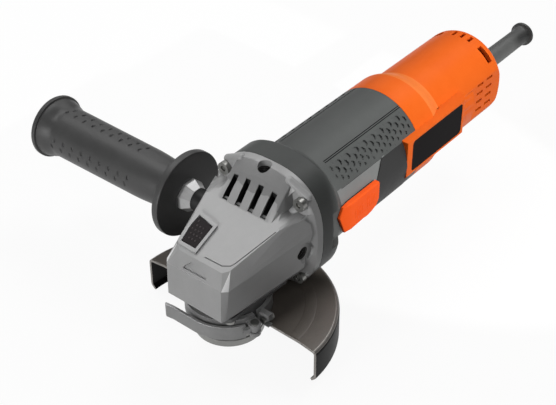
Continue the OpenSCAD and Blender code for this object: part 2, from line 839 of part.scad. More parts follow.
module rear_solid(shrink, end_x) {
    difference() {
        on_motor_axis() rotate_extrude() polygon(rear_profile(shrink, end_x));
        both_sides() block([vent_x, vent_flat_y - shrink, 0], [rear_end_x + 10, 60, 120]);
    }
}

// What belongs to the end cap: all behind the joint, and the vent panels at the sides
module cap_region() {
    block([cap_x, -60, -20], [rear_end_x + 10, 60, 120]);
    both_sides() block([vent_x + 0.4, vent_flat_y - 12, axis_z + vent_z[0]],
        [cap_x + 1, 60, axis_z + vent_z[1]]);
}

module rear_shell() {
    difference() {
        rear_solid(0, rear_end_x);
        rear_solid(wall, rear_end_x - wall);
        motor_ring(barrel_end_x - 1, step_x[0], 0, barrel_in - 0.4);
    }
}

module rear_housing() {
    color([0.95, 0.4, 0.14]) difference() {
        union() {
            difference() {
                rear_shell();
                cap_region();
            }
            difference() {
                label_pad();
                motor_ring(100, 230, 0, rear_r - wall);
                motor_ring(100, step_x[1], 0, barrel_in - 0.3);
            }
            // shelves that hold the electric switch
            for (z = [-11, 9]) block([176, -26, axis_z + z], [198, -7, axis_z + z + 2]);
            // posts of the cable clamp
            for (y = [-8, 8]) post(218, y, axis_z - 27, sleeve_z - 6.5, 3.4);
        }
        for (y = [-8, 8]) post(218, y, sleeve_z - 16, sleeve_z, 1.6);
        // seat of the label plate
        extrude_y(pad_y - 5, pad_y + 0.8) label_outline(0.05);
    }
}

module label_outline(grow) {
    offset(r = 2.5 + grow, $fn = 32) offset(delta = -2.5)
        translate([label_x[0], label_z[0]])
            square([label_x[1] - label_x[0], label_z[1] - label_z[0]]);
}

module label_plate() {
    color([0.12, 0.12, 0.12]) extrude_y(pad_y + 0.1, pad_y + 0.8) label_outline(0);
}

vent_rows = 4;
vent_pitch = 6.2;

module vent_slots() {
    for (row = [0 : vent_rows - 1], x = [211.2, 222])
        extrude_y(vent_flat_y - 6, vent_flat_y + 4)
            translate([x, axis_z + 10.2 - row * vent_pitch]) rotate(-4)
                square([7, 1.8]);
}

module rear_cap() {
    color([0.95, 0.4, 0.14]) difference() {
        union() {
            intersection() {
                rear_shell();
                cap_region();
            }
            for (y = [-13, 13]) rod_x(rear_end_x - 9, rear_end_x - 1, y, axis_z + 12, 4);
        }
        both_sides() vent_slots();
        // vents round the rim
        for (a = [38, 118]) motor_sector(cap_x + 2.6, cap_x + 7, 20, 40, a, a + 24);
        for (a = [75, 86.5, 98]) motor_sector(cap_x + 2.6, cap_x + 8.4, 20, 40, a, a + 5);
        // cord sleeve and screws
        rod_x(rear_end_x - 10, rear_end_x + 5, 0, sleeve_z, 6.3);
        for (y = [-13, 13]) {
            rod_x(rear_end_x - 12, rear_end_x + 5, y, axis_z + 12, 1.7);
            rod_x(rear_end_x - 1.6, rear_end_x + 5, y, axis_z + 12, 3.4);
        }
    }
}

module rear_cap_screws() {
    color("silver") for (y = [-13, 13]) difference() {
        union() {
            rod_x(rear_end_x - 1.6, rear_end_x, y, axis_z + 12, 3.2);
            rod_x(rear_end_x - 11, rear_end_x - 1.5, y, axis_z + 12, 1.6);
        }
        translate([rear_end_x - 1, y, axis_z + 12]) rotate([0, 90, 0])
            cylinder(r = 1.5, h = 3, $fn = 6);
    }
}

// ---- switch ----------------------------------------------------------------------------

module slide_switch() {
    zc = axis_z;
    color([0.95, 0.38, 0.14]) difference() {
        union() {
            extrude_y(-36.4, switch_flat_y - 0.3) polygon([[switch_x[0] + 3.4, zc + 9.2],
                [switch_x[1] - 0.6, zc + 9.2], [switch_x[1], zc + 8], [switch_x[1], zc - 8.4],
                [switch_x[0] + 5.6, zc - 9.6], [switch_x[0], zc + 2.6]]);
            block([73, switch_flat_y - 1, zc - 2.8], [80, -29.9, zc + 2.8]);
        }
        // thumb grooves
        for (i = [0 : 5]) translate([68 + 3.2 * i, -36.6, zc - 6.2]) cube([1.2, 1, 12.8]);
        // bevel along the upper edge
        translate([50, -36.4, zc + 5.6]) rotate([-52, 0, 0]) translate([0, -6, 0]) cube([50, 6, 8]);
    }
}

module switch_rod() {
    zc = axis_z;
    color("dimgray") {
        block([73, -29.9, zc - 4], [150, -28.6, zc + 4]);
        block([146, -29.9, zc - 4], [150, -24.2, zc + 4]);
        block([146, -25.6, zc - 4], [186, -24.2, zc + 4]);
        block([180, -25, zc - 1.6], [183, -20, zc + 1.6]);
    }
}

module electric_switch() {
    zc = axis_z;
    color([0.15, 0.15, 0.16]) difference() {
        block([172, -23.6, zc - 9], [202, -6, zc + 9]);
        block([173.4, -24, zc - 2], [185, -19, zc + 2]);
        for (z = [-6, 0, 6]) block([198, -17, zc + z - 0.8], [203, -12, zc + z + 0.8]);
    }
}

// ---- cord end --------------------------------------------------------------------------

module cable_clamp() {
    color("black") difference() {
        block([214, -11, sleeve_z - 6.5], [222, 11, sleeve_z - 3.4]);
        for (y = [-8, 8]) post(218, y, 0, 80, 1.6);
    }
}

module cable_clamp_screws() {
    color("silver") for (y = [-8, 8]) {
        post(218, y, sleeve_z - 3.4, sleeve_z - 1.4, 2.8);
        post(218, y, sleeve_z - 14, sleeve_z - 3.3, 1.55);
    }
}

module strain_relief() {
    in = rear_end_x - wall;
    color([0.25, 0.25, 0.25]) translate([0, 0, sleeve_z]) rotate([0, 90, 0])
        rotate_extrude() polygon([[3.6, in - 5], [9, in - 5], [9, in - 0.1], [6.2, in - 0.1],
            [6.2, rear_end_x + 0.4], [6.6, rear_end_x + 1], [6.2, sleeve_end_x - 9],
            [6.3, sleeve_end_x - 4.6], [7, sleeve_end_x - 3.4], [8.3, sleeve_end_x - 2.6],
            [8.3, sleeve_end_x - 0.8], [7.5, sleeve_end_x], [3.6, sleeve_end_x]]);
}

// ---- guard -----------------------------------------------------------------------------

collar_r = [22.6, 25];
plate_edge_z = 9.3;
plate_inner_z = 11;
lug_angle = -92;
pivot_angle = -109;
pivot_r = 29;
lever_z = [7.6, 16.8];
lever_r = [26.4, 28.2];
lever_from = -120;

// Section of the guard as (radius, z): plate, rounded edge, skirt and its lip turned in at 45 degrees
module guard_section() {
    bend = 3;
    lip = 3;
    top = plate_edge_z;
    low = plate_edge_z - guard_depth + (bend + lip) * sin(45);
    r = guard_r;
    t = guard_t;
    turn = [0 : -15 : -45];
    lip_step = [-lip * sin(45), -lip * sin(45)];
    outer = [for (a = turn) [r - bend + bend * cos(a), low + bend * sin(a)]];
    inner = [for (a = [-45 : 15 : 0]) [r - bend + (bend - t) * cos(a), low + (bend - t) * sin(a)]];
    polygon(concat(
        [[collar_r[1] + 0.03, plate_inner_z], [r - 12, plate_inner_z - 0.4]],
        [for (a = [90 : -15 : 0]) [r - bend + bend * cos(a), top - bend + bend * sin(a)]],
        outer,
        [outer[3] + lip_step, inner[0] + lip_step],
        inner,
        [for (a = [0 : 15 : 90])
            [r - bend + (bend - t) * cos(a), top - bend + (bend - t) * sin(a)]],
        [[r - 12, plate_inner_z - 0.4 - t], [collar_r[1] + 0.03, plate_inner_z - t]]));
}

module guard() {
    color([0.2, 0.2, 0.2]) rotate([0, 0, -90]) rotate_extrude(angle = 180, $fn = 96)
        guard_section();
}

// The clamped band round the neck, with its two lugs
module guard_collar() {
    color("dimgray") difference() {
        union() {
            difference() {
                post(0, 0, neck_low + 0.4, 19.4, collar_r[1]);
                rotate([0, 0, (lug_angle + pivot_angle) / 2]) block([18, -1.2, 0], [40, 1.2, 60]);
            }
            rotate([0, 0, lug_angle]) block([24, -1.4, plate_inner_z], [31.4, 2.2, 19.4]);
            rotate([0, 0, pivot_angle]) block([24, -3.3, 10], [pivot_r, 3.3, 17]);
            rotate([0, 0, pivot_angle]) post(pivot_r, 0, 9.8, 17.4, 3.4);
        }
        post(0, 0, 0, 30, collar_r[0]);
        // mouth for the lever's knuckle
        rotate([0, 0, pivot_angle]) block([pivot_r - 3.8, -12, 11.8], [50, 12, 15.2]);
        rotate([0, 0, pivot_angle]) post(pivot_r, 0, 0, 30, 1.5);
        rotate([0, 0, lug_angle]) translate([28.4, 10, 15]) rotate([90, 0, 0])
            cylinder(r = 1.6, h = 14);
    }
}

module collar_screw() {
    color("silver") rotate([0, 0, lug_angle]) translate([28.4, 0, 15]) rotate([90, 0, 0]) {
        translate([0, 0, -4.4]) cylinder(r = 3, h = 2.2, $fn = 6);
        translate([0, 0, -2.3]) cylinder(r = 1.6, h = 5.4);
    }
}

module lever_pin() {
    color("silver") rotate([0, 0, pivot_angle]) {
        post(pivot_r, 0, 9, 18, 1.5);
        post(pivot_r, 0, 17.4, 18.2, 2.4);
    }
}

// Outline of the lever's strip seen from above: round the collar, then straight to the tab
function lever_outline() = concat(
    [for (a = [360 + lever_from + 1 : -3 : 180]) lever_r[1] * [cos(a), sin(a)]],
    [[-lever_r[1], 17], [-lever_r[1] - 0.7, 21.4], [-lever_r[1] + 0.2, 22.8], [-lever_r[0] - 0.7, 22.6],
        [-lever_r[0], 17]],
    [for (a = [181 : 3 : 360 + lever_from + 1]) lever_r[0] * [cos(a), sin(a)]]);

// The over-centre lever: knuckle, arm and strip with its finger tab
module guard_lever() {
    color("gray") difference() {
        union() {
            rotate([0, 0, pivot_angle]) post(pivot_r, 0, 12.1, 14.9, 2.6);
            rotate([0, 0, pivot_angle]) translate([pivot_r, 0, 12.2]) rotate([0, 0, -96])
                translate([0, -1.6, 0]) cube([7, 2.6, 2.6]);
            translate([0, 0, lever_z[0]]) linear_extrude(lever_z[1] - lever_z[0])
                polygon(lever_outline());
        }
        rotate([0, 0, pivot_angle]) post(pivot_r, 0, 0, 30, 1.55);
    }
}

// ---- side handle -----------------------------------------------------------------------

neck_out_y = 44;

// Profile of the grip as (radius, distance along the handle)
function grip_profile() = let (start = handle_disc_y + 3, length = handle_end_y - start) concat(
    [[0, handle_disc_y + 0.6], [handle_disc_r - 1, handle_disc_y + 0.6],
     [handle_disc_r, handle_disc_y + 1.4], [handle_disc_r, handle_disc_y + 2.4],
     [handle_disc_r - 1, start]],
    [[grip_r - 3, start + 0.6]],
    [for (t = [0.03 : 0.06 : 0.87])
        [grip_r - 2.6 + 2.6 * sin(min(1, t * 3.4) * 90) + 0.8 * t, start + length * t]],
    [for (t = [0.9 : 0.02 : 0.96])
        [grip_r + 0.8 + 4 * pow((t - 0.88) / 0.08, 2) / (1 + pow((t - 0.88) / 0.08, 2)),
            start + length * t]],
    [[grip_r + 4.8, handle_end_y - 3.4], [grip_r + 4.8, handle_end_y - 1.6],
     [grip_r + 3.4, handle_end_y], [0, handle_end_y]]);

module about_handle() {
    translate([handle_x, 0, handle_z]) rotate([-90, 0, 0]) children();
}

module side_handle() {
    color([0.27, 0.27, 0.27]) about_handle() difference() {
        rotate_extrude() polygon(grip_profile());
        translate([0, 0, handle_disc_y - 5]) cylinder(r = 4, h = 45);
        translate([0, 0, handle_disc_y - 5]) cylinder(r = 7.6, h = 12, $fn = 6);
    }
}

// Steel boss: black collar, facetted cone and the hexagon moulded into the grip
module handle_boss() {
    color("silver") about_handle() difference() {
        union() {
            translate([0, 0, handle_seat_y + 0.3]) cylinder(r = 7, h = 12);
            translate([0, 0, neck_out_y]) cylinder(r1 = 7, r2 = 10.4, h = 5.4);
            translate([0, 0, neck_out_y + 5.4]) cylinder(r = 10.4, h = handle_disc_y + 0.6 - neck_out_y - 5.4);
            translate([0, 0, handle_disc_y]) cylinder(r = 7.6, h = 7, $fn = 6);
        }
        translate([0, 0, 0]) cylinder(r = 4, h = 120);
    }
}

module handle_stud() {
    color("silver") about_handle() translate([0, 0, case_rear_half - 10]) cylinder(r = 4, h = 66);
}

// ---- output ----------------------------------------------------------------------------

gear_case();
gear_case_screws();
bearing_cap();
bearing_cap_screws();
dust_seal();
spindle_bearing_lower();
spindle_bearing_upper();
spindle();
crown_gear();
gear_circlip();
inner_flange();
clamp_nut();
lock_button();
lock_pin();
lock_spring();
armature_shaft();
armature_core();
armature_windings();
commutator();
pinion();
pinion_nut();
cooling_fan();
armature_bearing_front();
armature_bearing_rear();
bearing_retainer();
fan_baffle();
motor_housing();
field_core();
field_windings();
brush_holders();
brush_upper();
brush_lower();
brush_spring_upper();
brush_spring_lower();
side_grip_right();
side_grip_left();
rear_housing();
rear_cap();
rear_cap_screws();
label_plate();
slide_switch();
switch_rod();
electric_switch();
cable_clamp();
cable_clamp_screws();
strain_relief();
guard();
guard_collar();
collar_screw();
lever_pin();
guard_lever();
side_handle();
handle_boss();
handle_stud();
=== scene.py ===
"""The looks of a small corded angle grinder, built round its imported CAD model, in metres.

+X runs to the cord end, +Y to the side handle and +Z up the spindle. The origin is on the
spindle axis, at the face that a disc is clamped against.
"""
import bmesh
import bpy
import math
from mathutils import Matrix, Vector


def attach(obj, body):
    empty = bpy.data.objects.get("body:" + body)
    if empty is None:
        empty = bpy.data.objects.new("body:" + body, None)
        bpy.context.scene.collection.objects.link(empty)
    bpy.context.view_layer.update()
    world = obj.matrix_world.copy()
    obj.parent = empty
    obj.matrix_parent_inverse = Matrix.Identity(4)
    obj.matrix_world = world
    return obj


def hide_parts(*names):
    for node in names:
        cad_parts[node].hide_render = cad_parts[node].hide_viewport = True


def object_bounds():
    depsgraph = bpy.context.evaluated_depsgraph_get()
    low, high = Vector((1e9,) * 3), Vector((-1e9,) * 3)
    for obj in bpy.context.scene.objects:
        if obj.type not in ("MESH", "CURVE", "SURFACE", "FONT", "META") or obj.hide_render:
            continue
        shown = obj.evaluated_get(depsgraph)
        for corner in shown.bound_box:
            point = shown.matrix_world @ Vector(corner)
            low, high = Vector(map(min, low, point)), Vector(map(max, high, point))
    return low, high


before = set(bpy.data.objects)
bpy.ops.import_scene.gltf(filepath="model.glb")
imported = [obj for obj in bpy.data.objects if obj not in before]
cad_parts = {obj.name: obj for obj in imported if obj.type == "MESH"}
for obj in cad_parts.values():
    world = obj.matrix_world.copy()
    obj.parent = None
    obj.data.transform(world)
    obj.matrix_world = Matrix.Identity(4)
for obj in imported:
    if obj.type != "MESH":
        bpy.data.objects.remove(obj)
cad_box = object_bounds()


# ---- Studio: camera ------------------------------------------------------------------------
# A long lens looks down on the gear case from its front, left corner.
# The tool lies across the frame with its cord end away from the viewer.
def shown(name, data):
    """Adds an object with this data to the scene."""
    made = bpy.data.objects.new(name, data)
    bpy.context.scene.collection.objects.link(made)
    return made


LENS_MM, SENSOR_MM = 81.08, 36.0
CLIP_NEAR = 0.01
CAMERA_AT = (-0.387394, -0.358313, 0.490470)
LOOK = Vector((0.608002, 0.504527, -0.613014))
ROLL = math.radians(-0.4467)

camera = shown("camera", bpy.data.cameras.new("camera"))
camera.data.lens = LENS_MM
camera.data.sensor_width = SENSOR_MM
camera.data.clip_start = CLIP_NEAR
camera.matrix_world = (Matrix.Translation(CAMERA_AT)
                       @ LOOK.to_track_quat("-Z", "Y").to_matrix().to_4x4()
                       @ Matrix.Rotation(ROLL, 4, "Z"))
bpy.context.scene.camera = camera
bpy.context.scene.view_settings.view_transform = "Standard"


# ---- Studio: paper floor -------------------------------------------------------------------
# A pale sheet of matt paper lies under the tool and takes its soft shadow. It glows a little
# of its own, which keeps the shadow light, but counts as grey where it lights the tool.
def linear(hex_colour):
    """An sRGB hex colour as the linear RGBA that shaders take."""
    parts = [int(hex_colour[i:i + 2], 16) / 255 for i in (1, 3, 5)]
    return [p / 12.92 if p < 0.04045 else ((p + 0.055) / 1.055) ** 2.4 for p in parts] + [1.0]


def add(tree, kind, links=None, **settings):
    """Adds a node with its settings; links maps its inputs to sockets or to plain values."""
    node = tree.nodes.new(kind)
    for name, value in settings.items():
        setattr(node, name, value)
    for name, value in (links or {}).items():
        if isinstance(value, bpy.types.NodeSocket):
            tree.links.new(value, node.inputs[name])
        else:
            node.inputs[name].default_value = value
    return node


PAPER_SEEN = "#fafafa"
PAPER_BOUNCE = "#3c3c3c"
PAPER_GLOW = 0.92
FLOOR_HALF, FLOOR_GAP = 4.0, 0.0002
paper = bpy.data.materials.new("matt_studio_paper")
paper.use_nodes = True
tree = paper.node_tree
tree.nodes.clear()
rays = add(tree, "ShaderNodeLightPath")
seen = add(tree, "ShaderNodeMath", {0: rays.outputs["Is Camera Ray"],
                                    1: rays.outputs["Is Glossy Ray"]}, operation="MAXIMUM")
seen = add(tree, "ShaderNodeMath", {0: seen.outputs[0],
                                    1: rays.outputs["Is Transmission Ray"]}, operation="MAXIMUM")
tone = add(tree, "ShaderNodeMix", {0: seen.outputs[0], 6: linear(PAPER_BOUNCE),
                                   7: linear(PAPER_SEEN)}, data_type="RGBA")
matt = add(tree, "ShaderNodeBsdfDiffuse", {"Color": tone.outputs[2]})
glow = add(tree, "ShaderNodeEmission", {"Color": linear("#ffffff")})
share = add(tree, "ShaderNodeMath", {0: seen.outputs[0], 1: PAPER_GLOW}, operation="MULTIPLY")
both = add(tree, "ShaderNodeMixShader", {0: share.outputs[0], 1: matt.outputs[0],
                                         2: glow.outputs[0]})
add(tree, "ShaderNodeOutputMaterial", {"Surface": both.outputs[0]})

sheet = bmesh.new()
bmesh.ops.create_grid(sheet, x_segments=1, y_segments=1, size=FLOOR_HALF)
bmesh.ops.translate(sheet, verts=sheet.verts, vec=(0, 0, cad_box[0][2] - FLOOR_GAP))
floor_mesh = bpy.data.meshes.new("floor")
sheet.to_mesh(floor_mesh)
sheet.free()
floor_mesh.materials.append(paper)
shown("floor", floor_mesh)

# ---- Studio: soft boxes --------------------------------------------------------------------
# Wide boxes hang over the far side of the gear case, behind the motor and over its far flank,
# and stand in front and beside the camera. A gridded lamp brightens the motor's switch side
# and leaves the gear case out. A dim white room fills the rest.
TARGET = Vector((0.03, 0.0, 0.05))
BOXES = {  # name: (direction from the tool, distance, width, watts)
    "overhead": ((0.07, 0.50, 0.86), 1.25, 0.75, 5.3),
    "behind": ((0.61, 0.0, 0.795), 1.3, 0.55, 5.2),
    "far_flank": ((0.6, 0.6, 0.5), 1.25, 0.6, 1.1),
    "front": ((-0.93, 0.10, 0.12), 1.2, 0.5, 6.8),
    "beside_camera": ((-0.5, -0.5, 0.7), 1.25, 0.6, 1.7)}
for name, (direction, distance, width, watts) in BOXES.items():
    lamp = bpy.data.lights.new(name, "AREA")
    lamp.shape = "DISK"
    lamp.size = width
    lamp.energy = watts
    light = shown(name, lamp)
    light.visible_camera = False
    light.location = TARGET + Vector(direction).normalized() * distance
    light.rotation_euler = (-Vector(direction)).to_track_quat("-Z", "Y").to_euler()

GRID_TARGET = Vector((0.1735, -0.033, 0.05))
GRID_FROM = Vector((0.0, -0.92, 0.39))
GRID_DISTANCE, GRID_RADIUS = 1.1, 0.1240
GRID_WATTS, GRID_LAMP, GRID_BLEND = 41.0, 0.006, 0.06
lamp = bpy.data.lights.new("gridded_side", "SPOT")
lamp.energy = GRID_WATTS
lamp.spot_size = 2 * math.atan(GRID_RADIUS / GRID_DISTANCE)
lamp.spot_blend = GRID_BLEND
lamp.shadow_soft_size = GRID_LAMP
light = shown("gridded_side", lamp)
light.location = GRID_TARGET + GRID_FROM.normalized() * GRID_DISTANCE
light.rotation_euler = (-GRID_FROM).to_track_quat("-Z", "Y").to_euler()

ROOM = 0.08
world = bpy.data.worlds.new("studio")
bpy.context.scene.world = world
world.use_nodes = True
walls = world.node_tree.nodes["Background"].inputs
walls["Color"].default_value = linear("#ffffff")
walls["Strength"].default_value = ROOM


# ---- Gear case -----------------------------------------------------------------------------
# Aluminium die-casting under silver-grey lacquer: a satin skin with a faint orange peel. Its
# edges are rounded by half a millimetre, as the die leaves them. The front corners carry a
# painted highlight, and the duct behind the louvres is painted near black as shade.
def finish(name, colour, metallic, roughness, **sockets):
    """A material with its Principled shader; returns the material, its tree and the shader."""
    material = bpy.data.materials.new(name)
    material.use_nodes = True
    shader = material.node_tree.nodes["Principled BSDF"]
    shader.inputs["Base Color"].default_value = linear(colour)
    shader.inputs["Metallic"].default_value = metallic
    shader.inputs["Roughness"].default_value = roughness
    for socket, value in sockets.items():
        shader.inputs[socket.replace("_", " ")].default_value = value
    return material, material.node_tree, shader


NOISE_LOW, NOISE_HIGH = 0.3, 0.7  # nearly all of the noise lies between these
GRAIN_SHARE = 0.35


def skin(tree, shader, grain_mm, depth_mm, tones, rough, cloud_mm=18.0):
    """Fine grain that raises the skin and shifts its gloss, under slow clouds of tone."""
    place = add(tree, "ShaderNodeTexCoord").outputs["Object"]
    fine = add(tree, "ShaderNodeTexNoise", {"Vector": place, "Scale": 1000.0 / grain_mm,
                                            "Detail": 3.0})
    clouds = add(tree, "ShaderNodeTexNoise", {"Vector": place, "Scale": 1000.0 / cloud_mm,
                                              "Detail": 5.0, "Roughness": 0.65})
    raised = add(tree, "ShaderNodeBump", {"Height": fine.outputs[0], "Strength": 1.0,
                                          "Distance": depth_mm / 1000.0})
    tree.links.new(raised.outputs[0], shader.inputs["Normal"])
    both = add(tree, "ShaderNodeMix", {0: GRAIN_SHARE, 2: clouds.outputs[0], 3: fine.outputs[0]})
    ramp = add(tree, "ShaderNodeValToRGB", {"Fac": both.outputs[0]})
    ramp.color_ramp.elements[0].position = NOISE_LOW
    ramp.color_ramp.elements[1].position = NOISE_HIGH
    ramp.color_ramp.elements[0].color = linear(tones[0])
    ramp.color_ramp.elements[1].color = linear(tones[1])
    tree.links.new(ramp.outputs[0], shader.inputs["Base Color"])
    gloss = add(tree, "ShaderNodeMapRange", {"Value": both.outputs[0],
                                             "From Min": NOISE_LOW, "From Max": NOISE_HIGH,
                                             "To Min": rough[0], "To Max": rough[1]})
    tree.links.new(gloss.outputs[0], shader.inputs["Roughness"])
    return place, raised


def placed(bm, name, body, materials, stands_for, sharp=30.0):
    """Makes a finished mesh a piece that rides on a body, with smooth faces and even normals."""
    mesh = bpy.data.meshes.new(name)
    for face in bm.faces:
        face.smooth = True
    bm.to_mesh(mesh)
    bm.free()
    mesh.set_sharp_from_angle(angle=math.radians(sharp))
    for material in materials:
        mesh.materials.append(material)
    piece = shown(name, mesh)
    even = piece.modifiers.new("face weighted normals", "WEIGHTED_NORMAL")
    even.keep_sharp = True
    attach(piece, body)
    if stands_for:
        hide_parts(stands_for)
    return piece


EASE_ANGLE = math.radians(22)
EASE_LENGTH, EASE_BREADTH = 2.2, 0.8  # room that an edge and a face need, in widths


def eased(bm, width, segments=3):
    """Rounds the edges that have the room for it, the way a die or a tumbler does."""
    roomy = set(v for v in bm.verts
                if all(e.calc_length() > EASE_LENGTH * width for e in v.link_edges))
    wide = set(f for f in bm.faces if f.calc_area() > EASE_BREADTH * width * f.calc_perimeter())
    edges = [e for e in bm.edges if len(e.link_faces) == 2 and roomy.issuperset(e.verts)
             and wide.issuperset(e.link_faces) and e.calc_face_angle() > EASE_ANGLE]
    bmesh.ops.bevel(bm, geom=edges, offset=width, segments=segments, profile=0.5,
                    affect="EDGES", clamp_overlap=True, material=-1)


JOIN, FLAT = 2e-6, math.radians(0.6)


def merged(node, ease=0.0, segments=3):
    """A copy of a CAD node's mesh with its loose triangles joined, and its edges eased."""
    bm = bmesh.new()
    bm.from_mesh(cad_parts[node].data)
    bmesh.ops.remove_doubles(bm, verts=bm.verts, dist=JOIN)
    bmesh.ops.dissolve_limit(bm, angle_limit=FLAT, verts=bm.verts, edges=bm.edges)
    if ease:
        eased(bm, ease, segments)
    return bm


lacquer, tree, shader = finish("silver_lacquer_on_casting", "#acacac", 0.1, 0.4,
                               Specular_IOR_Level=0.2)
skin(tree, shader, 0.45, 0.005, ("#a6a6a6", "#b2b2b2"), (0.36, 0.46))
# Painted highlight: a near white lacquer for the front corners, where the light catches them.
painted_corner_highlight, tree, shader = finish("lacquer_with_painted_corner_highlight", "#f2f2f2", 0.0, 0.36)
skin(tree, shader, 0.4, 0.004, ("#ececec", "#f8f8f8"), (0.3, 0.42), 6.0)
# Painted shade: near black for the faces inside the duct, where shade falls.
painted_duct_shade, tree, shader = finish("painted_shade_in_duct", "#1c1c1c", 0.2, 0.6)
skin(tree, shader, 0.8, 0.03, ("#141414", "#242424"), (0.5, 0.7))

DUCT = ((0.0170, -0.01545, 0.0642), (0.0388, 0.01545, 0.0795))
HOOD_FRONT, FACING = Vector((-0.77, 0.0, 0.64)), 0.8
# How far the faces with the painted corner highlight look forwards, up and aside.
CORNER_X = -0.017
CORNER_FORWARD, CORNER_UP, CORNER_ASIDE = -0.35, (0.2, 0.8), 0.4
CASE_EASE = 0.0005
case = merged("gear_case")
for face in case.faces:
    middle = face.calc_center_median()
    inside = all(low < value < high for low, value, high in zip(DUCT[0], middle, DUCT[1]))
    on_front = middle.x < CORNER_X and face.normal.x < CORNER_FORWARD
    sloping = CORNER_UP[0] < face.normal.z < CORNER_UP[1]
    # Faces inside the duct, except those facing out of the hood, take the painted shade.
    if inside and face.normal.dot(HOOD_FRONT) < FACING:
        face.material_index = 1
    # The sloping front corner faces take the painted highlight.
    elif on_front and sloping and abs(face.normal.y) > CORNER_ASIDE:
        face.material_index = 2
eased(case, CASE_EASE)
placed(case, "gear_case_skin", "housing", [lacquer, painted_duct_shade, painted_corner_highlight], "gear_case")


# The hood is part of the same casting: a sloping front with four slots, and an arched top
# that runs smoothly into the ring. Its slots and its hole are cored. Its lacquer is painted
# darker than the plateau's, as painted shade.
HOOD_STATIONS = [  # x, height at the middle, height at the edge, of the hood's outside
    (0.0139, 0.06715, 0.0670), (0.0146, 0.0680, 0.0678), (0.0200, 0.0747, 0.07265),
    (0.0260, 0.0821, 0.0788), (0.0266, 0.08275, 0.07935), (0.0273, 0.0834, 0.0799),
    (0.0306, 0.0859, 0.0826), (0.0325, 0.0873, 0.0843), (0.0338, 0.0880, 0.0851),
    (0.0352, 0.0880, 0.0851)]
HOOD_HALF = 0.0193
HOOD_FOOT = ((0.0139, 0.0204, 0.0662), (0.0352, 0.0216, 0.0738))
HOOD_WALL, FOOT_DROP = 0.0012, 0.0012
HOOD_ROUND = [  # inset and drop of the outside where it rounds over the edge
    (0.0009, 0.0), (0.00035, 0.0001), (0.00005, 0.0004), (-0.00008, 0.0010)]
HOOD_ARCH = 2.2
TOP_SHARE, ROUND_SHARE = 0.8, 0.05
TOP_STEPS = 10
LOUVRE = [(0.012, 0.0684), (0.019, 0.0684), (0.0264, 0.0746), (0.0247, 0.0840), (0.012, 0.0840)]
LOUVRE_W, LOUVRE_PITCH, LOUVRES = 0.0036, 0.00907, 4
TOP_HOLE_X, TOP_HOLE_Z, TOP_HOLE_DEEP = 0.0334, 0.0860, 0.012
TAPPED_R = 0.00405


def hood_point(station, across):
    """A point of the hood's outside; across runs from -1 at one foot to 1 at the other."""
    x, middle, edge = station
    side = math.copysign(1.0, across)
    share = abs(across)
    if share <= TOP_SHARE:
        y = share / TOP_SHARE * (HOOD_HALF - HOOD_ROUND[0][0])
        return x, side * y, middle - (middle - edge) * (y / HOOD_HALF) ** HOOD_ARCH
    rounding = round((share - TOP_SHARE) / ROUND_SHARE)
    if rounding < len(HOOD_ROUND):
        inset, drop = HOOD_ROUND[rounding]
        return x, side * (HOOD_HALF - inset), edge - drop
    (x0, y0, z0), (x1, y1, z1) = HOOD_FOOT
    along = (x - x0) / (x1 - x0)
    return x, side * (y0 + (y1 - y0) * along), min(edge - FOOT_DROP, z0 + (z1 - z0) * along)


def cored(piece, tools, sharp):
    """Cuts closed meshes out of a piece as a core does, and leaves nothing else behind."""
    cores = []
    for bm in tools:
        bmesh.ops.recalc_face_normals(bm, faces=bm.faces)
        mesh = bpy.data.meshes.new("core")
        bm.to_mesh(mesh)
        bm.free()
        core = shown("core", mesh)
        cut = piece.modifiers.new("core", "BOOLEAN")
        cut.object = core
        cut.solver = "EXACT"
        cores.append(core)
    finished = piece.evaluated_get(bpy.context.evaluated_depsgraph_get())
    mesh = bpy.data.meshes.new_from_object(finished)
    piece.modifiers.clear()
    piece.data = mesh
    mesh.set_sharp_from_angle(angle=math.radians(sharp))
    for core in cores:
        bpy.data.objects.remove(core)


def new_verts(made):
    """The vertices in what a mesh operator has just made."""
    return [g for g in made["geom"] if isinstance(g, bmesh.types.BMVert)]


across = [step / TOP_STEPS * TOP_SHARE for step in range(TOP_STEPS + 1)] + [0.85, 0.9, 0.95, 1.0]
across = [-a for a in reversed(across[1:])] + across
hood = bmesh.new()
bmesh.ops.create_grid(hood, x_segments=len(HOOD_STATIONS) - 1, y_segments=len(across) - 1,
                      size=1.0)
for vert in hood.verts:
    row = round((vert.co.x + 1) / 2 * (len(HOOD_STATIONS) - 1))
    column = round((vert.co.y + 1) / 2 * (len(across) - 1))
    vert.co = hood_point(HOOD_STATIONS[row], across[column])
bmesh.ops.solidify(hood, geom=hood.faces[:], thickness=HOOD_WALL)
bmesh.ops.recalc_face_normals(hood, faces=hood.faces)
# Painted shade: the same silver lacquer, made darker for the hood.
hood_lacquer_painted_darker, tree, shader = finish("silver_lacquer_painted_darker_on_hood", "#909090", 0.1, 0.4,
                                    Specular_IOR_Level=0.2)
skin(tree, shader, 0.45, 0.005, ("#8a8a8a", "#969696"), (0.36, 0.46))
hood_skin = placed(hood, "gear_case_hood", "housing", [hood_lacquer_painted_darker], None)
tools = []
for louvre in range(LOUVRES):
    tool = bmesh.new()
    left = (louvre - (LOUVRES - 1) / 2) * LOUVRE_PITCH - LOUVRE_W / 2
    face = tool.faces.new([tool.verts.new((x, left, z)) for x, z in LOUVRE])
    made = bmesh.ops.extrude_face_region(tool, geom=[face])
    bmesh.ops.translate(tool, verts=new_verts(made), vec=(0, LOUVRE_W, 0))
    tools.append(tool)
tool = bmesh.new()
bmesh.ops.create_cone(tool, cap_ends=True, segments=48, radius1=TAPPED_R, radius2=TAPPED_R,
                      depth=TOP_HOLE_DEEP)
bmesh.ops.translate(tool, verts=tool.verts, vec=(TOP_HOLE_X, 0, TOP_HOLE_Z))
tools.append(tool)
cored(hood_skin, tools, 30)


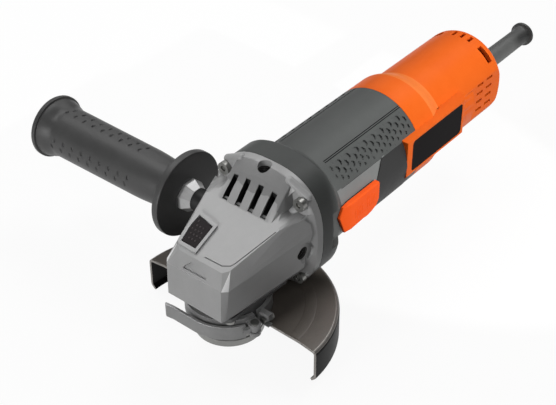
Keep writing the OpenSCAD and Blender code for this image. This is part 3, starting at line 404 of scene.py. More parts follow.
# ---- Threads of the handle holes -----------------------------------------------------------
# M8 threads, cut into the bare casting on the free side and on top, and dark with oil. Each
# is one coil of a ridge of 1.25 mm pitch that leaves the 6.8 mm core free.
THREAD_PITCH, THREAD_TURNS, THREAD_STEPS = 0.00125, 7, 28
# The ridge's corners: radius, and place along the pitch.
THREAD_RIDGE = ((TAPPED_R, 0.0), (0.00342, 0.42), (0.00342, 0.55), (TAPPED_R, 0.97))
SIDE_MOUTH, TOP_MOUTH = (0.025, -0.0333, 0.0478), (TOP_HOLE_X, 0, 0.0850)
tapped, tree, shader = finish("oiled_tapped_aluminium", "#343332", 0.5, 0.5)
skin(tree, shader, 0.3, 0.004, ("#2a2928", "#3e3d3c"), (0.42, 0.58))


def thread(name, mouth, inward):
    """A helical ridge that runs from a hole's mouth inward."""
    inward = Vector(inward)
    across = inward.orthogonal().normalized()
    bm = bmesh.new()
    corners = [bm.verts.new(Vector(mouth) + across * r + inward * (THREAD_PITCH * share))
               for r, share in THREAD_RIDGE]
    face = bm.faces.new(corners)
    bmesh.ops.spin(bm, geom=[face] + face.edges[:] + corners, cent=mouth, axis=inward,
                   angle=THREAD_TURNS * 2 * math.pi, steps=THREAD_TURNS * THREAD_STEPS,
                   dvec=inward * THREAD_PITCH / THREAD_STEPS, use_merge=False,
                   use_duplicate=False)
    bmesh.ops.remove_doubles(bm, verts=bm.verts, dist=1e-6)
    bmesh.ops.recalc_face_normals(bm, faces=bm.faces)
    placed(bm, name, "housing", [tapped], None)


thread("side_hole_thread", SIDE_MOUTH, (0, 1, 0))
thread("top_hole_thread", TOP_MOUTH, (0, 0, -1))

# ---- Lock button ---------------------------------------------------------------------------
# Glass-filled nylon, brownish black and matt, with a grid of small moulded bumps that keep
# the thumb from slipping and are rubbed paler by it. It slides in its shaft under the raised
# rim of the casting.
BUTTON_TOP, BUTTON_TILT = Vector((-0.0205, 0.0, 0.0556)), math.atan2(16.4, 45.5)
BUTTON_EDGE = [(-0.0174, 0.0069), (-0.0026, 0.0074), (-0.0004, 0.0186), (-0.0070, 0.0188),
               (-0.0172, 0.0170)]
BUMP_START = (-0.0188, 0.0078)
BUMP_PITCH = (0.00266, 0.00224)
BUMP_R, BUMP_FLAT = 0.00062, 0.62
BUMP_ROWS, BUMP_COLUMNS = 6, 7
EDGE_KEEP = 0.0017
BUTTON_PROUD = 0.0010

button_nylon, tree, shader = finish("brown_black_nylon", "#211d1e", 0.0, 0.5,
                                    Specular_IOR_Level=0.15)
skin(tree, shader, 0.35, 0.01, ("#1c1819", "#272223"), (0.45, 0.58))
placed(merged("lock_button", 0.0004), "lock_button_body", "lock", [button_nylon],
       "lock_button")
bumps = bmesh.new()
slope_axis = Vector((math.cos(BUTTON_TILT), 0, math.sin(BUTTON_TILT)))
top_normal = Vector((-math.sin(BUTTON_TILT), 0, math.cos(BUTTON_TILT)))
for row in range(BUMP_ROWS):
    for column in range(BUMP_COLUMNS):
        x = BUMP_START[0] + column * BUMP_PITCH[0]
        y = BUMP_START[1] + row * BUMP_PITCH[1] + (column % 2) * BUMP_PITCH[1] / 2
        room = min(((x - ax) * (ay - by) + (y - ay) * (bx - ax)) / math.hypot(bx - ax, by - ay)
                   for (ax, ay), (bx, by) in zip(BUTTON_EDGE, BUTTON_EDGE[1:] + BUTTON_EDGE[:1]))
        if room > EDGE_KEEP:
            along = (x - BUTTON_TOP.x) / math.cos(BUTTON_TILT)
            centre = BUTTON_TOP + slope_axis * along + Vector((0, y, 0))
            centre += top_normal * BUTTON_PROUD
            made = bmesh.ops.create_uvsphere(bumps, u_segments=10, v_segments=6, radius=BUMP_R)
            bmesh.ops.scale(bumps, verts=made["verts"], vec=(1, 1, BUMP_FLAT))
            bmesh.ops.rotate(bumps, verts=made["verts"],
                             matrix=Matrix.Rotation(-BUTTON_TILT, 3, "Y"))
            bmesh.ops.translate(bumps, verts=made["verts"], vec=centre)
rubbed_nylon, tree, shader = finish("brown_black_nylon_rubbed", "#453f40", 0.0, 0.42,
                                    Specular_IOR_Level=0.3)
skin(tree, shader, 0.3, 0.006, ("#3f393a", "#4b4546"), (0.38, 0.48))
placed(bumps, "lock_button_bumps", "lock", [rubbed_nylon], None, 180)

# ---- Screws, pins and springs --------------------------------------------------------------
# Cold-headed steel, zinc plated: a pale and slightly warm grey with patches of duller gloss.
# The end cap's screws are blacked.
zinc, tree, shader = finish("zinc_plated_steel", "#8f8f8c", 0.85, 0.38)
skin(tree, shader, 0.5, 0.003, ("#7e7e7b", "#9b9b98"), (0.32, 0.5), 6.0)
for node, body, width in (("gear_case_screws", "housing", 0.0003),
                          ("bearing_cap_screws", "housing", 0.0003),
                          ("cable_clamp_screws", "housing", 0.0002),
                          ("collar_screw", "guard", 0.0002), ("lever_pin", "guard", 0.0002),
                          ("lock_pin", "lock", 0.0002), ("gear_circlip", "spindle", 0.0001),
                          ("pinion_nut", "armature", 0.0002),
                          ("handle_stud", "handle", 0.0003),
                          ("bearing_retainer", "housing", 0.0002)):
    placed(merged(node, width, 2), node + "_plated", body, [zinc], node)


def coated(node, material):
    """Gives a CAD node that is shown as it is a finish of its own."""
    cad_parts[node].data.materials.clear()
    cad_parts[node].data.materials.append(material)


for node in ("lock_spring", "brush_spring_upper", "brush_spring_lower"):
    coated(node, zinc)
dark_screw, tree, shader = finish("black_oxide_screw", "#4d4d4b", 0.7, 0.42)
skin(tree, shader, 0.5, 0.004, ("#40403e", "#5a5a58"), (0.36, 0.52), 6.0)
placed(merged("rear_cap_screws", 0.0002, 2), "rear_cap_screws_blacked", "housing", [dark_screw],
       "rear_cap_screws")

# ---- Bearing cap and spindle nose ----------------------------------------------------------
# The cap is a casting coloured dark grey, as painted shade for the shadow under the gear
# case, with the neck that carries the guard. The spindle, its flange and its nut are machined
# steel, with the rings of the lathe on their faces.
# Painted shade: a dark grey for the cap, which lies in the gear case's shadow.
dark_grey_painted_shade, tree, shader = finish("casting_painted_dark_grey_shade", "#5a5a5a", 0.3, 0.45)
skin(tree, shader, 0.5, 0.008, ("#525252", "#616161"), (0.4, 0.52))
placed(merged("bearing_cap", 0.0004), "bearing_cap_skin", "housing", [dark_grey_painted_shade],
       "bearing_cap")

# The rings are drawn about 5.7 mm apart, far coarser than a lathe's feed, so that they show.
LATHE_SCALE, LATHE_DEPTH = 1000.0 / 0.9 / 20.0, 0.000012
machined, tree, shader = finish("machined_steel", "#8a8a88", 0.9, 0.34)
place, raised = skin(tree, shader, 0.4, 0.002, ("#7b7b79", "#949492"), (0.34, 0.44), 8.0)
rings = add(tree, "ShaderNodeTexWave", {"Vector": place, "Scale": LATHE_SCALE,
                                        "Distortion": 0.4, "Detail": 2.0},
            wave_type="RINGS", rings_direction="Z")
lathe = add(tree, "ShaderNodeBump", {"Height": rings.outputs[0], "Strength": 0.6,
                                     "Distance": LATHE_DEPTH, "Normal": raised.outputs[0]})
tree.links.new(lathe.outputs[0], shader.inputs["Normal"])
for node, body, width in (("inner_flange", "spindle", 0.0004), ("clamp_nut", "spindle", 0.0004),
                          ("spindle", "spindle", 0.0003)):
    placed(merged(node, width), node + "_turned", body, [machined], node)
gear_steel, tree, shader = finish("hardened_oiled_steel", "#6f6f70", 0.9, 0.36)
skin(tree, shader, 0.4, 0.004, ("#5f5f60", "#7b7b7c"), (0.3, 0.45), 5.0)
bearing_steel, tree, shader = finish("ground_bearing_steel", "#a9a9a7", 1.0, 0.28)
skin(tree, shader, 0.4, 0.001, ("#9f9f9d", "#b1b1af"), (0.22, 0.34), 6.0)
nitrile, tree, shader = finish("nitrile_rubber", "#1b1b1b", 0.0, 0.65)
skin(tree, shader, 0.5, 0.01, ("#171717", "#202020"), (0.6, 0.75), 6.0)
sinter, tree, shader = finish("sintered_bronze", "#a8823f", 0.8, 0.45)
skin(tree, shader, 0.4, 0.012, ("#94702f", "#b58f4b"), (0.4, 0.6), 4.0)
for node, material in (("crown_gear", gear_steel), ("pinion", gear_steel),
                       ("armature_shaft", bearing_steel), ("armature_bearing_front", bearing_steel),
                       ("armature_bearing_rear", bearing_steel),
                       ("spindle_bearing_lower", bearing_steel), ("dust_seal", nitrile),
                       ("spindle_bearing_upper", sinter)):
    coated(node, material)

# ---- Guard ---------------------------------------------------------------------------------
# Pressed from sheet and lacquered black. Grinding dust clings to the top of its plate and
# makes it a warm grey. The bend carries a painted highlight, and the cut ends are shown in
# the same pale grey.
guard_lacquer, tree, shader = finish("black_lacquered_sheet", "#181818", 0.0, 0.42,
                                     Specular_IOR_Level=0.06)
skin(tree, shader, 0.7, 0.004, ("#141414", "#1d1d1d"), (0.36, 0.48), 25.0)
guard_dust, tree, shader = finish("grinding_dust_on_lacquer", "#665f59", 0.1, 0.45)
skin(tree, shader, 0.6, 0.008, ("#5d5751", "#706962"), (0.4, 0.56), 14.0)
# Painted highlight along the bend, also used for the pale cut ends.
bend_highlight_and_cut_edge, tree, shader = finish("painted_bend_highlight_and_cut_edge", "#8d8985", 0.5, 0.42)
skin(tree, shader, 0.4, 0.01, ("#7c7874", "#9f9b97"), (0.36, 0.5), 5.0)
END_X, BEND_Z, PLATE_Z = 0.0006, 0.0075, 0.009
LEVEL, TILTED = 0.98, 0.2
shield = merged("guard")
for face in shield.faces:
    middle = face.calc_center_median()
    outward = Vector((middle.x, middle.y, 0)).normalized().dot(face.normal)
    on_end = abs(face.normal.x) > LEVEL and abs(middle.x) < END_X
    # The bend's faces take the painted highlight.
    on_bend = middle.z > BEND_Z and outward > TILTED and TILTED < face.normal.z < LEVEL
    on_plate = face.normal.z > LEVEL and middle.z > PLATE_Z
    face.material_index = 2 if on_end or on_bend else int(on_plate)
eased(shield, 0.0003)
placed(shield, "guard_sheet", "guard", [guard_lacquer, guard_dust, bend_highlight_and_cut_edge], "guard")

# A shallow stiffening ring, rolled into the plate.
RING_PROFILE = [(0.0428, -0.0002), (0.0440, 0.00025), (0.0492, 0.00025), (0.0504, -0.0002)]
PLATE_R, PLATE_TOP, PLATE_FALL = (0.025, 0.051), 0.0110, 0.0004
RING_TURN, RING_SPAN, RING_STEPS = math.radians(1), math.radians(178), 72
ring = bmesh.new()
corners = []
for r, proud in RING_PROFILE:
    fallen = (r - PLATE_R[0]) / (PLATE_R[1] - PLATE_R[0]) * PLATE_FALL
    corners.append(ring.verts.new((0.0, -r, PLATE_TOP - fallen + proud)))
band = ring.faces.new(corners)
bmesh.ops.rotate(ring, verts=ring.verts, matrix=Matrix.Rotation(RING_TURN, 3, "Z"))
bmesh.ops.spin(ring, geom=[band] + band.edges[:] + corners, axis=(0, 0, 1),
               angle=RING_SPAN, steps=RING_STEPS)
bmesh.ops.recalc_face_normals(ring, faces=ring.faces)
placed(ring, "guard_ring", "guard", [guard_dust], None)

# ---- Guard collar and lever ----------------------------------------------------------------
# Cold-rolled steel strip, bent and phosphated mid grey, with a painted highlight on its upper
# faces.
# The over-centre lever pulls the collar tight round the neck.
phosphate, tree, shader = finish("grey_phosphated_strip", "#8c8c8c", 0.3, 0.42)
skin(tree, shader, 0.4, 0.006, ("#828282", "#959595"), (0.38, 0.5), 9.0)
FACING_UP = 0.7
# Painted highlight: a pale grey for the faces that point up.
painted_top_highlight, tree, shader = finish("phosphate_with_painted_top_highlight", "#c4c4c4", 0.5, 0.36)
skin(tree, shader, 0.4, 0.004, ("#b8b8b8", "#cfcfcf"), (0.3, 0.44), 6.0)
for node, body in (("guard_collar", "guard"), ("guard_lever", "lever")):
    strip = merged(node)
    for face in strip.faces:
        # Faces pointing up take the painted highlight.
        face.material_index = int(face.normal.z > FACING_UP)
    eased(strip, 0.0003)
    placed(strip, node + "_strip", body, [phosphate, painted_top_highlight], node)

# ---- Motor housing -------------------------------------------------------------------------
# One moulding in dark grey glass-filled nylon: a squarish flange that blends into the barrel,
# two pinstripe grooves on each side, a flat behind the switch, and a band of thumbnail
# shaped pockets that gives the hand its hold. The pockets' steep walls and the grooves are
# painted dark as shade, and the sloping facet on the switch side is painted a lighter grey as
# a highlight. All shapes are radii round the motor axis.
AXIS_Z = 0.0496
BARREL_R = 0.033
BARREL_IN = 0.0306
FLANGE_HALF = (0.037, 0.0385)
FLANGE_POWER = 2.6
FLANGE_FLOOR, FLOOR_DOWN = 0.0356, -0.3
JOINT_X, BLEND_X, BLEND_END, BARREL_END = 0.0387, 0.053, 0.0615, 0.139
JOINT_EASE, END_EASE = 0.0004, 0.0003
BAND_X = 0.0658
STRIPES = (60, 62)
STRIPE_HALF, STRIPE_DEPTH = 0.5, 0.00045
STRIPE_X, STRIPE_RISE = (0.066, 0.1388), 0.024
FACET_ANGLE, FACET_SPAN = 21.5, 12
FACET_FLAT, FACET_X = 0.0326, (0.062, 0.107)
GRIP_X = (0.095, 0.1294)
GRIP_SPAN = (-34, 29)
GRIP_FLOOR = 0.0316
LEAN, LEAN_FROM, LEAN_OVER = 0.0094, 0.007, 0.010
FADE_FROM, FADE_OVER = 32, 25
SEAM_ANGLE, SEAM_HALF, SEAM_DEPTH = 29.7, 0.6, 0.00035  # over the front of the grip panel
SWITCH_FLAT, SWITCH_OUT = 0.0325, 0.9
SWITCH_X, SWITCH_HALF_Z = (0.048, 0.096), 0.0114
POCKET_PITCH = 0.0081
POCKET_X = (0.0695, 0.1372)
POCKET_BOW, POCKET_ROUND = 1.1, 0.4
POCKET_ROWS = [  # angle up from the side, half height, length, depth
    (55.6, 0.0009, 0.0016, 0.00035), (51.9, 0.0020, 0.0034, 0.00095),
    (47.4, 0.0020, 0.0034, 0.00100), (42.9, 0.0018, 0.0032, 0.00095),
    (38.8, 0.0015, 0.0029, 0.00085), (35.0, 0.0012, 0.0025, 0.00070),
    (31.9, 0.0007, 0.0015, 0.00035)]


def pocket_depth(x, side_angle):
    """How deep the thumbnail pockets cut at a station and an angle up from the side."""
    deepest = 0.0
    for row, (angle, half, length, depth) in enumerate(POCKET_ROWS):
        across = math.radians(side_angle - angle) * BARREL_R / half
        if abs(across) >= 1 or not POCKET_X[0] - length <= x <= POCKET_X[1]:
            continue
        curve = 1 - across * across
        shift = POCKET_PITCH / 2 * (row % 2)
        behind = (POCKET_X[0] + shift + POCKET_BOW * half * math.sqrt(curve) - x) % POCKET_PITCH
        if behind < length:
            deepest = max(deepest, depth * (1 - behind / length) * curve ** POCKET_ROUND)
    return deepest


def slant(side_angle):
    """How far back the front edge of the grip panel leans at an angle up from the side."""
    rise = (BARREL_R * math.sin(math.radians(side_angle)) - LEAN_FROM) / LEAN_OVER
    fade = 1 - min(1.0, max(0.0, (side_angle - FADE_FROM) / FADE_OVER))
    return LEAN * min(1.0, max(0.0, rise)) * fade


def housing_radius(x, angle):
    """Outer radius of the motor housing; angle 0 points to -Y and 90 to +Z."""
    turn = math.radians(angle)
    up, out = math.sin(turn), math.cos(turn)
    side_angle = angle if angle <= 90 else 180 - angle
    shape = (abs(out / FLANGE_HALF[0]) ** FLANGE_POWER
             + abs(up / FLANGE_HALF[1]) ** FLANGE_POWER) ** (-1 / FLANGE_POWER)
    if up < FLOOR_DOWN:
        shape = min(shape, FLANGE_FLOOR / -up)
    blend = min(1.0, max(0.0, (x - BLEND_X) / (BLEND_END - BLEND_X)))
    blend = blend * blend * (3 - 2 * blend)
    r = shape + (BARREL_R - shape) * blend
    r -= max(0.0, JOINT_EASE - (x - JOINT_X)) + max(0.0, END_EASE - (BARREL_END - x))
    if x > BAND_X:
        for stripe in STRIPES:
            r -= STRIPE_DEPTH * max(0.0, 1 - abs(side_angle - stripe) / STRIPE_HALF)
        r -= pocket_depth(x, side_angle)
        if x < GRIP_X[0] + LEAN:
            r -= SEAM_DEPTH * max(0.0, 1 - abs(side_angle - SEAM_ANGLE) / SEAM_HALF)
    if out > SWITCH_OUT and SWITCH_X[0] <= x <= SWITCH_X[1]:
        flat = SWITCH_FLAT / out
        if abs(flat * up) < SWITCH_HALF_Z:
            r = min(r, flat)
    if FACET_X[0] <= x <= FACET_X[1] and abs(angle - FACET_ANGLE) < FACET_SPAN:
        r = min(r, FACET_FLAT / math.cos(math.radians(angle - FACET_ANGLE)))
    in_span = GRIP_SPAN[0] <= side_angle <= GRIP_SPAN[1]
    if in_span and GRIP_X[0] + slant(side_angle) <= x <= GRIP_X[1]:
        r = min(r, GRIP_FLOOR)
    return r


STATION_BEND, LAST_X = 0.068, 0.1387
BORE_STATIONS = (BARREL_END, 0.100, JOINT_X)


def station(x, side_angle):
    """Bends the stations near the grip panel so that one of them lies along its slanted edge."""
    if not STATION_BEND < x < GRIP_X[1]:
        return x
    straight = STATION_BEND if x <= GRIP_X[0] else GRIP_X[1]
    return x + slant(side_angle) * ((x - straight) / (GRIP_X[0] - straight))


# Angles lie closer together in the pockets, and on both sides of each groove and flat's edge.
# Stations lie closer together in the blend, and closest along the pockets.
angles = set(1.5 * step - 90 for step in range(240))
fine = [30 + 0.75 * step for step in range(37)]
fine += [stripe + d for stripe in STRIPES for d in (-STRIPE_HALF, 0, STRIPE_HALF)]
fine += [29.1, 29.4, 29.7, 30.3, -34.1]
fine += [19.25, 19.4, -19.25, -19.4, 12.6, 30.4, 9.8, -9.8]
angles = sorted(angles | set(fine) | set(180 - a for a in fine))
stations = [JOINT_X, 0.0391, 0.0415, 0.0450, 0.0479, 0.0480, 0.0500, 0.0520]
stations += [0.0530 + 0.00085 * step for step in range(11)]
stations += [0.0619, 0.0620, 0.0640, 0.0657, 0.0660, 0.0670]
stations += [0.0675 + 0.0005 * step for step in range(143)] + [0.0949, 0.0961, GRIP_X[1] + 0.0001]
stations = sorted(set(round(x, 5) for x in stations if x < LAST_X)) + [LAST_X, BARREL_END]

nylon, tree, shader = finish("dark_grey_filled_nylon", "#505251", 0.0, 0.46,
                             Specular_IOR_Level=0.15)
skin(tree, shader, 0.32, 0.012, ("#4e504f", "#575958"), (0.42, 0.54))
# The facet is moulded smoother, and its lighter grey is a painted highlight.
facet_nylon_smooth_painted_lighter, tree, shader = finish("smooth_nylon_painted_lighter_on_facet", "#727473", 0.0, 0.36)
skin(tree, shader, 0.5, 0.004, ("#6e706f", "#787a79"), (0.32, 0.42))
# Painted shade: near black for the pockets' steep walls and the grooves.
painted_pocket_shade, tree, shader = finish("painted_shade_in_pockets_and_grooves", "#242525", 0.0, 0.6,
                                    Specular_IOR_Level=0.1)
skin(tree, shader, 0.3, 0.012, ("#1e1f1f", "#2a2b2b"), (0.55, 0.65))
barrel = bmesh.new()
loop = bmesh.ops.create_circle(barrel, segments=len(angles), radius=1.0)["verts"]
loop.sort(key=lambda v: math.atan2(v.co.y, v.co.x) % (2 * math.pi))


def lay(verts, at_x):
    """Puts a ring of vertices, sorted by angle, at a station."""
    for vert, angle in zip(verts, angles):
        side_angle = angle if angle <= 90 else 180 - angle
        x = station(at_x, side_angle)
        r = housing_radius(x, angle)
        turn = math.radians(angle)
        vert.co = (x, -r * math.cos(turn), AXIS_Z + r * math.sin(turn))


def edges_round(verts):
    """The edges of a closed ring of vertices, in the same order."""
    return [next(e for e in a.link_edges if e.other_vert(a) is b)
            for a, b in zip(verts, verts[1:] + verts[:1])]


def next_ring(verts):
    """Extrudes the ring's edges and returns the new ring in the same order."""
    fresh = set(new_verts(bmesh.ops.extrude_edge_only(barrel, edges=edges_round(verts))))
    return [next(e.other_vert(v) for e in v.link_edges if e.other_vert(v) in fresh)
            for v in verts]


first = loop
lay(loop, stations[0])
for x in stations[1:]:
    loop = next_ring(loop)
    lay(loop, x)
for x in BORE_STATIONS:
    loop = next_ring(loop)
    for vert, angle in zip(loop, angles):
        turn = math.radians(angle)
        vert.co = (x, -BARREL_IN * math.cos(turn), AXIS_Z + BARREL_IN * math.sin(turn))
bmesh.ops.bridge_loops(barrel, edges=edges_round(first) + edges_round(loop))
bmesh.ops.recalc_face_normals(barrel, faces=barrel.faces)
WALL_STEP, WALL_FALL = 0.00025, 0.00035
FACET_NEAR, FACET_LEVEL = (FACET_FLAT - 0.00004, FACET_FLAT + 0.00002), 0.99
facet_normal = Vector((0, -math.cos(math.radians(FACET_ANGLE)),
                       math.sin(math.radians(FACET_ANGLE))))
for face in barrel.faces:
    middle = face.calc_center_median()
    side_angle = math.degrees(math.atan2(middle.z - AXIS_Z, abs(middle.y)))
    fall = (pocket_depth(middle.x - WALL_STEP, side_angle)
            - pocket_depth(middle.x + WALL_STEP, side_angle))
    in_pocket = fall > WALL_FALL and POCKET_X[0] < middle.x < POCKET_X[1]
    in_groove = (min(abs(side_angle - stripe) for stripe in STRIPES) < STRIPE_HALF
                 and STRIPE_X[0] < middle.x < STRIPE_X[1] and middle.z > AXIS_Z + STRIPE_RISE)
    # Steep pocket walls and grooves take the painted shade.
    if in_pocket or in_groove:
        face.material_index = 2
        continue
    reach = (middle - Vector((0, 0, AXIS_Z))).dot(facet_normal)
    on_facet = (FACET_NEAR[0] < reach < FACET_NEAR[1] and FACET_X[0] < middle.x < FACET_X[1]
                and face.normal.dot(facet_normal) > FACET_LEVEL)
    # The facet's faces take the smoother nylon, painted lighter.
    face.material_index = int(on_facet)
placed(barrel, "motor_housing_moulding", "housing", [nylon, facet_nylon_smooth_painted_lighter, painted_pocket_shade],
       "motor_housing", 24)

# ---- Side grips ----------------------------------------------------------------------------
# Soft thermoplastic rubber, moulded in place in the barrel's recesses: near black, quite matt,
# with a fine spark-eroded grain.
soft, tree, shader = finish("soft_moulded_grip", "#262626", 0.0, 0.62, Specular_IOR_Level=0.3)
skin(tree, shader, 0.3, 0.018, ("#222222", "#2b2b2b"), (0.55, 0.7))
for node in ("side_grip_right", "side_grip_left"):
    placed(merged(node, 0.0003), node + "_rubber", "housing", [soft], node)

# ---- Switch --------------------------------------------------------------------------------
# The slide's thumb piece is the same orange nylon, painted brighter and redder than the rear
# housing's as a highlight for the light on this side. It has a sloping nose and two groups of
# fine ribs. Its rod and the switch that it works are black.
THUMB_EDGE = [(0.0570, 0.0522), (0.0604, 0.0580), (0.0660, 0.0588), (0.0924, 0.0588),
              (0.0930, 0.0576), (0.0930, 0.0470), (0.0905, 0.0430), (0.0860, 0.0412),
              (0.0815, 0.0404), (0.0780, 0.0408), (0.0660, 0.0402), (0.0622, 0.0392)]
THUMB_CREASE, THUMB_RAMP, THUMB_DROP = 0.0660, 0.0650, 0.0016
THUMB_EASE, THUMB_SHARP = 0.0006, 0.6
THUMB_FOOT, THUMB_TOP = -0.0328, -0.0361
RIBS = ((0.0702, 0.0440, 0.0555), (0.0815, 0.0455, 0.0570))  # first rib's x, ends
RIB_PITCH, RIB_W, RIB_PROUD = 0.0021, 0.0012, 0.00022
RIBS_EACH, RIB_LOWER = 4, 0.0004
thumb = bmesh.new()
foot = thumb.faces.new([thumb.verts.new((x, THUMB_FOOT, z)) for x, z in THUMB_EDGE])
top = new_verts(bmesh.ops.extrude_face_region(thumb, geom=[foot]))
bmesh.ops.translate(thumb, verts=top, vec=(0, THUMB_TOP - THUMB_FOOT, 0))
bmesh.ops.connect_verts(thumb, verts=[v for v in top if abs(v.co.x - THUMB_CREASE) < 1e-5])
bmesh.ops.translate(thumb, verts=[v for v in top if v.co.x < THUMB_RAMP],
                    vec=(0, THUMB_DROP, 0))
edges = [e for e in thumb.edges
         if all(v in top for v in e.verts) and e.calc_face_angle() > THUMB_SHARP]
bmesh.ops.bevel(thumb, geom=edges, offset=THUMB_EASE, segments=3, profile=0.5, affect="EDGES",
                material=-1)
for start, low, high in RIBS:
    for rib in range(RIBS_EACH):
        made = bmesh.ops.create_uvsphere(thumb, u_segments=12, v_segments=8, radius=0.5)
        bmesh.ops.scale(thumb, verts=made["verts"], vec=(RIB_W, RIB_PROUD * 4, high - low))
        bmesh.ops.translate(thumb, verts=made["verts"],
                            vec=(start + rib * RIB_PITCH, THUMB_TOP + RIB_PROUD,
                                 (low + high) / 2 - rib * RIB_LOWER))
bmesh.ops.recalc_face_normals(thumb, faces=thumb.faces)
# Painted highlight: a brighter copy of the orange for the thumb piece.
orange_slide_painted_brighter, tree, shader = finish("orange_nylon_painted_brighter", "#ff5f22", 0.0, 0.42,
                                    Specular_IOR_Level=0.05)
skin(tree, shader, 0.35, 0.012, ("#f7581d", "#ff6426"), (0.38, 0.48))
placed(thumb, "slide_switch_thumb", "switch", [orange_slide_painted_brighter], "slide_switch")
black_nylon, tree, shader = finish("black_nylon", "#202020", 0.0, 0.5)
skin(tree, shader, 0.35, 0.01, ("#1b1b1b", "#262626"), (0.45, 0.58))
for node, body in (("switch_rod", "switch"), ("electric_switch", "housing"),
                   ("cable_clamp", "housing"), ("fan_baffle", "housing")):
    placed(merged(node, 0.0003, 2), node + "_moulding", body, [black_nylon], node)

# ---- Rear housing and end cap --------------------------------------------------------------
# Orange glass-filled nylon with a satin skin. The cap is screwed on and carries the vents. The
# step in front of the cap catches the light and looks paler.
STEP_X, STEP_R, STEP_SLOPE = (0.1575, 0.1695), 0.0285, 0.02
orange, tree, shader = finish("orange_filled_nylon", "#e5641e", 0.0, 0.45,
                              Specular_IOR_Level=0.05)
skin(tree, shader, 0.35, 0.01, ("#e1601b", "#e96923"), (0.36, 0.46))
orange_step, tree, shader = finish("orange_nylon_at_step", "#e87a38", 0.0, 0.42,
                                   Specular_IOR_Level=0.05)
skin(tree, shader, 0.35, 0.01, ("#e57635", "#eb7e3d"), (0.36, 0.46))
for node in ("rear_housing", "rear_cap"):
    shell = merged(node, 0.0005)
    for face in shell.faces:
        centre = face.calc_center_median()
        on_step = STEP_X[0] < centre.x < STEP_X[1] and abs(face.normal.x) > STEP_SLOPE
        if on_step and math.hypot(centre.y, centre.z - AXIS_Z) > STEP_R:
            face.material_index = 1
    placed(shell, node + "_moulding", "housing", [orange, orange_step], node)

# ---- Label plate ---------------------------------------------------------------------------
# A bare plate of black polyester film, laid in its seat: satin, dead flat, with the slightest
# orange peel of a printed ground.
film, tree, shader = finish("black_satin_film", "#100e0f", 0.0, 0.45, Specular_IOR_Level=0.02)
skin(tree, shader, 0.9, 0.003, ("#0e0c0d", "#141112"), (0.4, 0.5), 30.0)
placed(merged("label_plate", 0.0001, 2), "label_film", "housing", [film], "label_plate")

# ---- Strain relief -------------------------------------------------------------------------
# Soft PVC, moulded round the cord's entry: satin dark grey, thicker at its open lip.
vinyl, tree, shader = finish("soft_vinyl_sleeve", "#525352", 0.0, 0.5)
skin(tree, shader, 0.4, 0.008, ("#4c4d4c", "#595a59"), (0.44, 0.58))
placed(merged("strain_relief", 0.0003), "strain_relief_sleeve", "housing", [vinyl],
       "strain_relief")

# ---- Side handle ---------------------------------------------------------------------------
# One moulding in dark grey nylon: a thin finger disc, a swelling grip with four double rows
# of small slots, and a flared end with a hollow for the heel of the hand.
HANDLE_AT = (0.025, 0.0, 0.0478)
DISC_Y, DISC_R, HANDLE_END = 0.0507, 0.0268, 0.1658
GRIP_R, GRIP_SHARE, GRIP_STEPS = 0.0154, (0.02, 0.965), 250
SWELL, SWELL_RATE, TAPER = 0.0026, 3.4, 0.0008
FLARE_SHARE, FLARE_OVER, FLARE_OUT = 0.87, 0.062, 0.0041
AROUND_STEPS = 192
CARVED_Y = (0.080, 0.162)
ROW_TURNS = (85, 174, 265, 354)
ROW_OFFSET = 9
ROW_STAGGER = 0.0023
SLOT_PITCH = 0.00775
SLOT_HALF = (0.00085, 0.00150)
SLOT_DEPTH, SLOT_ROUND = 0.0009, 0.3
SLOT_START, SLOT_MARGIN, SLOT_COUNT = 0.0864, 0.002, 8.7
HOLLOW = ((0.1555, 112.0), (0.0045, 24.0), 0.0011)  # centre, half size, depth; y and turn
HOLLOW_FALL = 2.2

profile = [(0.0040, DISC_Y + 0.0006), (0.0105, DISC_Y + 0.0006), (0.0107, DISC_Y + 0.0009),
           (0.0150, DISC_Y + 0.0009), (0.0250, DISC_Y + 0.0007), (DISC_R - 0.0009, DISC_Y + 0.0006),
           (DISC_R - 0.0003, DISC_Y + 0.0008), (DISC_R, DISC_Y + 0.0014), (DISC_R, DISC_Y + 0.0044),
           (DISC_R - 0.0003, DISC_Y + 0.0050), (DISC_R - 0.0009, DISC_Y + 0.0052),
           (DISC_R - 0.0018, DISC_Y + 0.0050), (DISC_R - 0.0026, DISC_Y + 0.0036),
           (DISC_R - 0.0040, DISC_Y + 0.0031)]
start = DISC_Y + 0.003
length = HANDLE_END - start
profile += [(0.0190, start + 0.0001), (0.0145, start + 0.0003), (0.0132, start + 0.0008)]
for step in range(GRIP_STEPS + 1):
    t = GRIP_SHARE[0] + (GRIP_SHARE[1] - GRIP_SHARE[0]) * step / GRIP_STEPS
    swell = math.sin(min(1.0, t * SWELL_RATE) * math.pi / 2)
    r = GRIP_R - SWELL + SWELL * swell + TAPER * min(t, FLARE_SHARE)
    if t > FLARE_SHARE:
        flare = ((t - FLARE_SHARE) / FLARE_OVER) ** 2
        r += FLARE_OUT * flare / (1 + flare)
    profile.append((r, start + length * t))
profile += [(GRIP_R + 0.0046, HANDLE_END - 0.0037), (GRIP_R + 0.0048, HANDLE_END - 0.0034),
            (GRIP_R + 0.0048, HANDLE_END - 0.0016), (GRIP_R + 0.0043, HANDLE_END - 0.0006),
            (GRIP_R + 0.0034, HANDLE_END), (0.0130, HANDLE_END), (0.0126, HANDLE_END - 0.0008),
            (0.0004, HANDLE_END - 0.0008)]
grip = bmesh.new()
corners = [grip.verts.new((HANDLE_AT[0] + r, y, HANDLE_AT[2])) for r, y in profile]
edges = [grip.edges.new(pair) for pair in zip(corners, corners[1:])]
bmesh.ops.spin(grip, geom=corners + edges, cent=HANDLE_AT, axis=(0, 1, 0),
               angle=2 * math.pi, steps=AROUND_STEPS, use_merge=True)
bmesh.ops.remove_doubles(grip, verts=grip.verts, dist=1e-6)
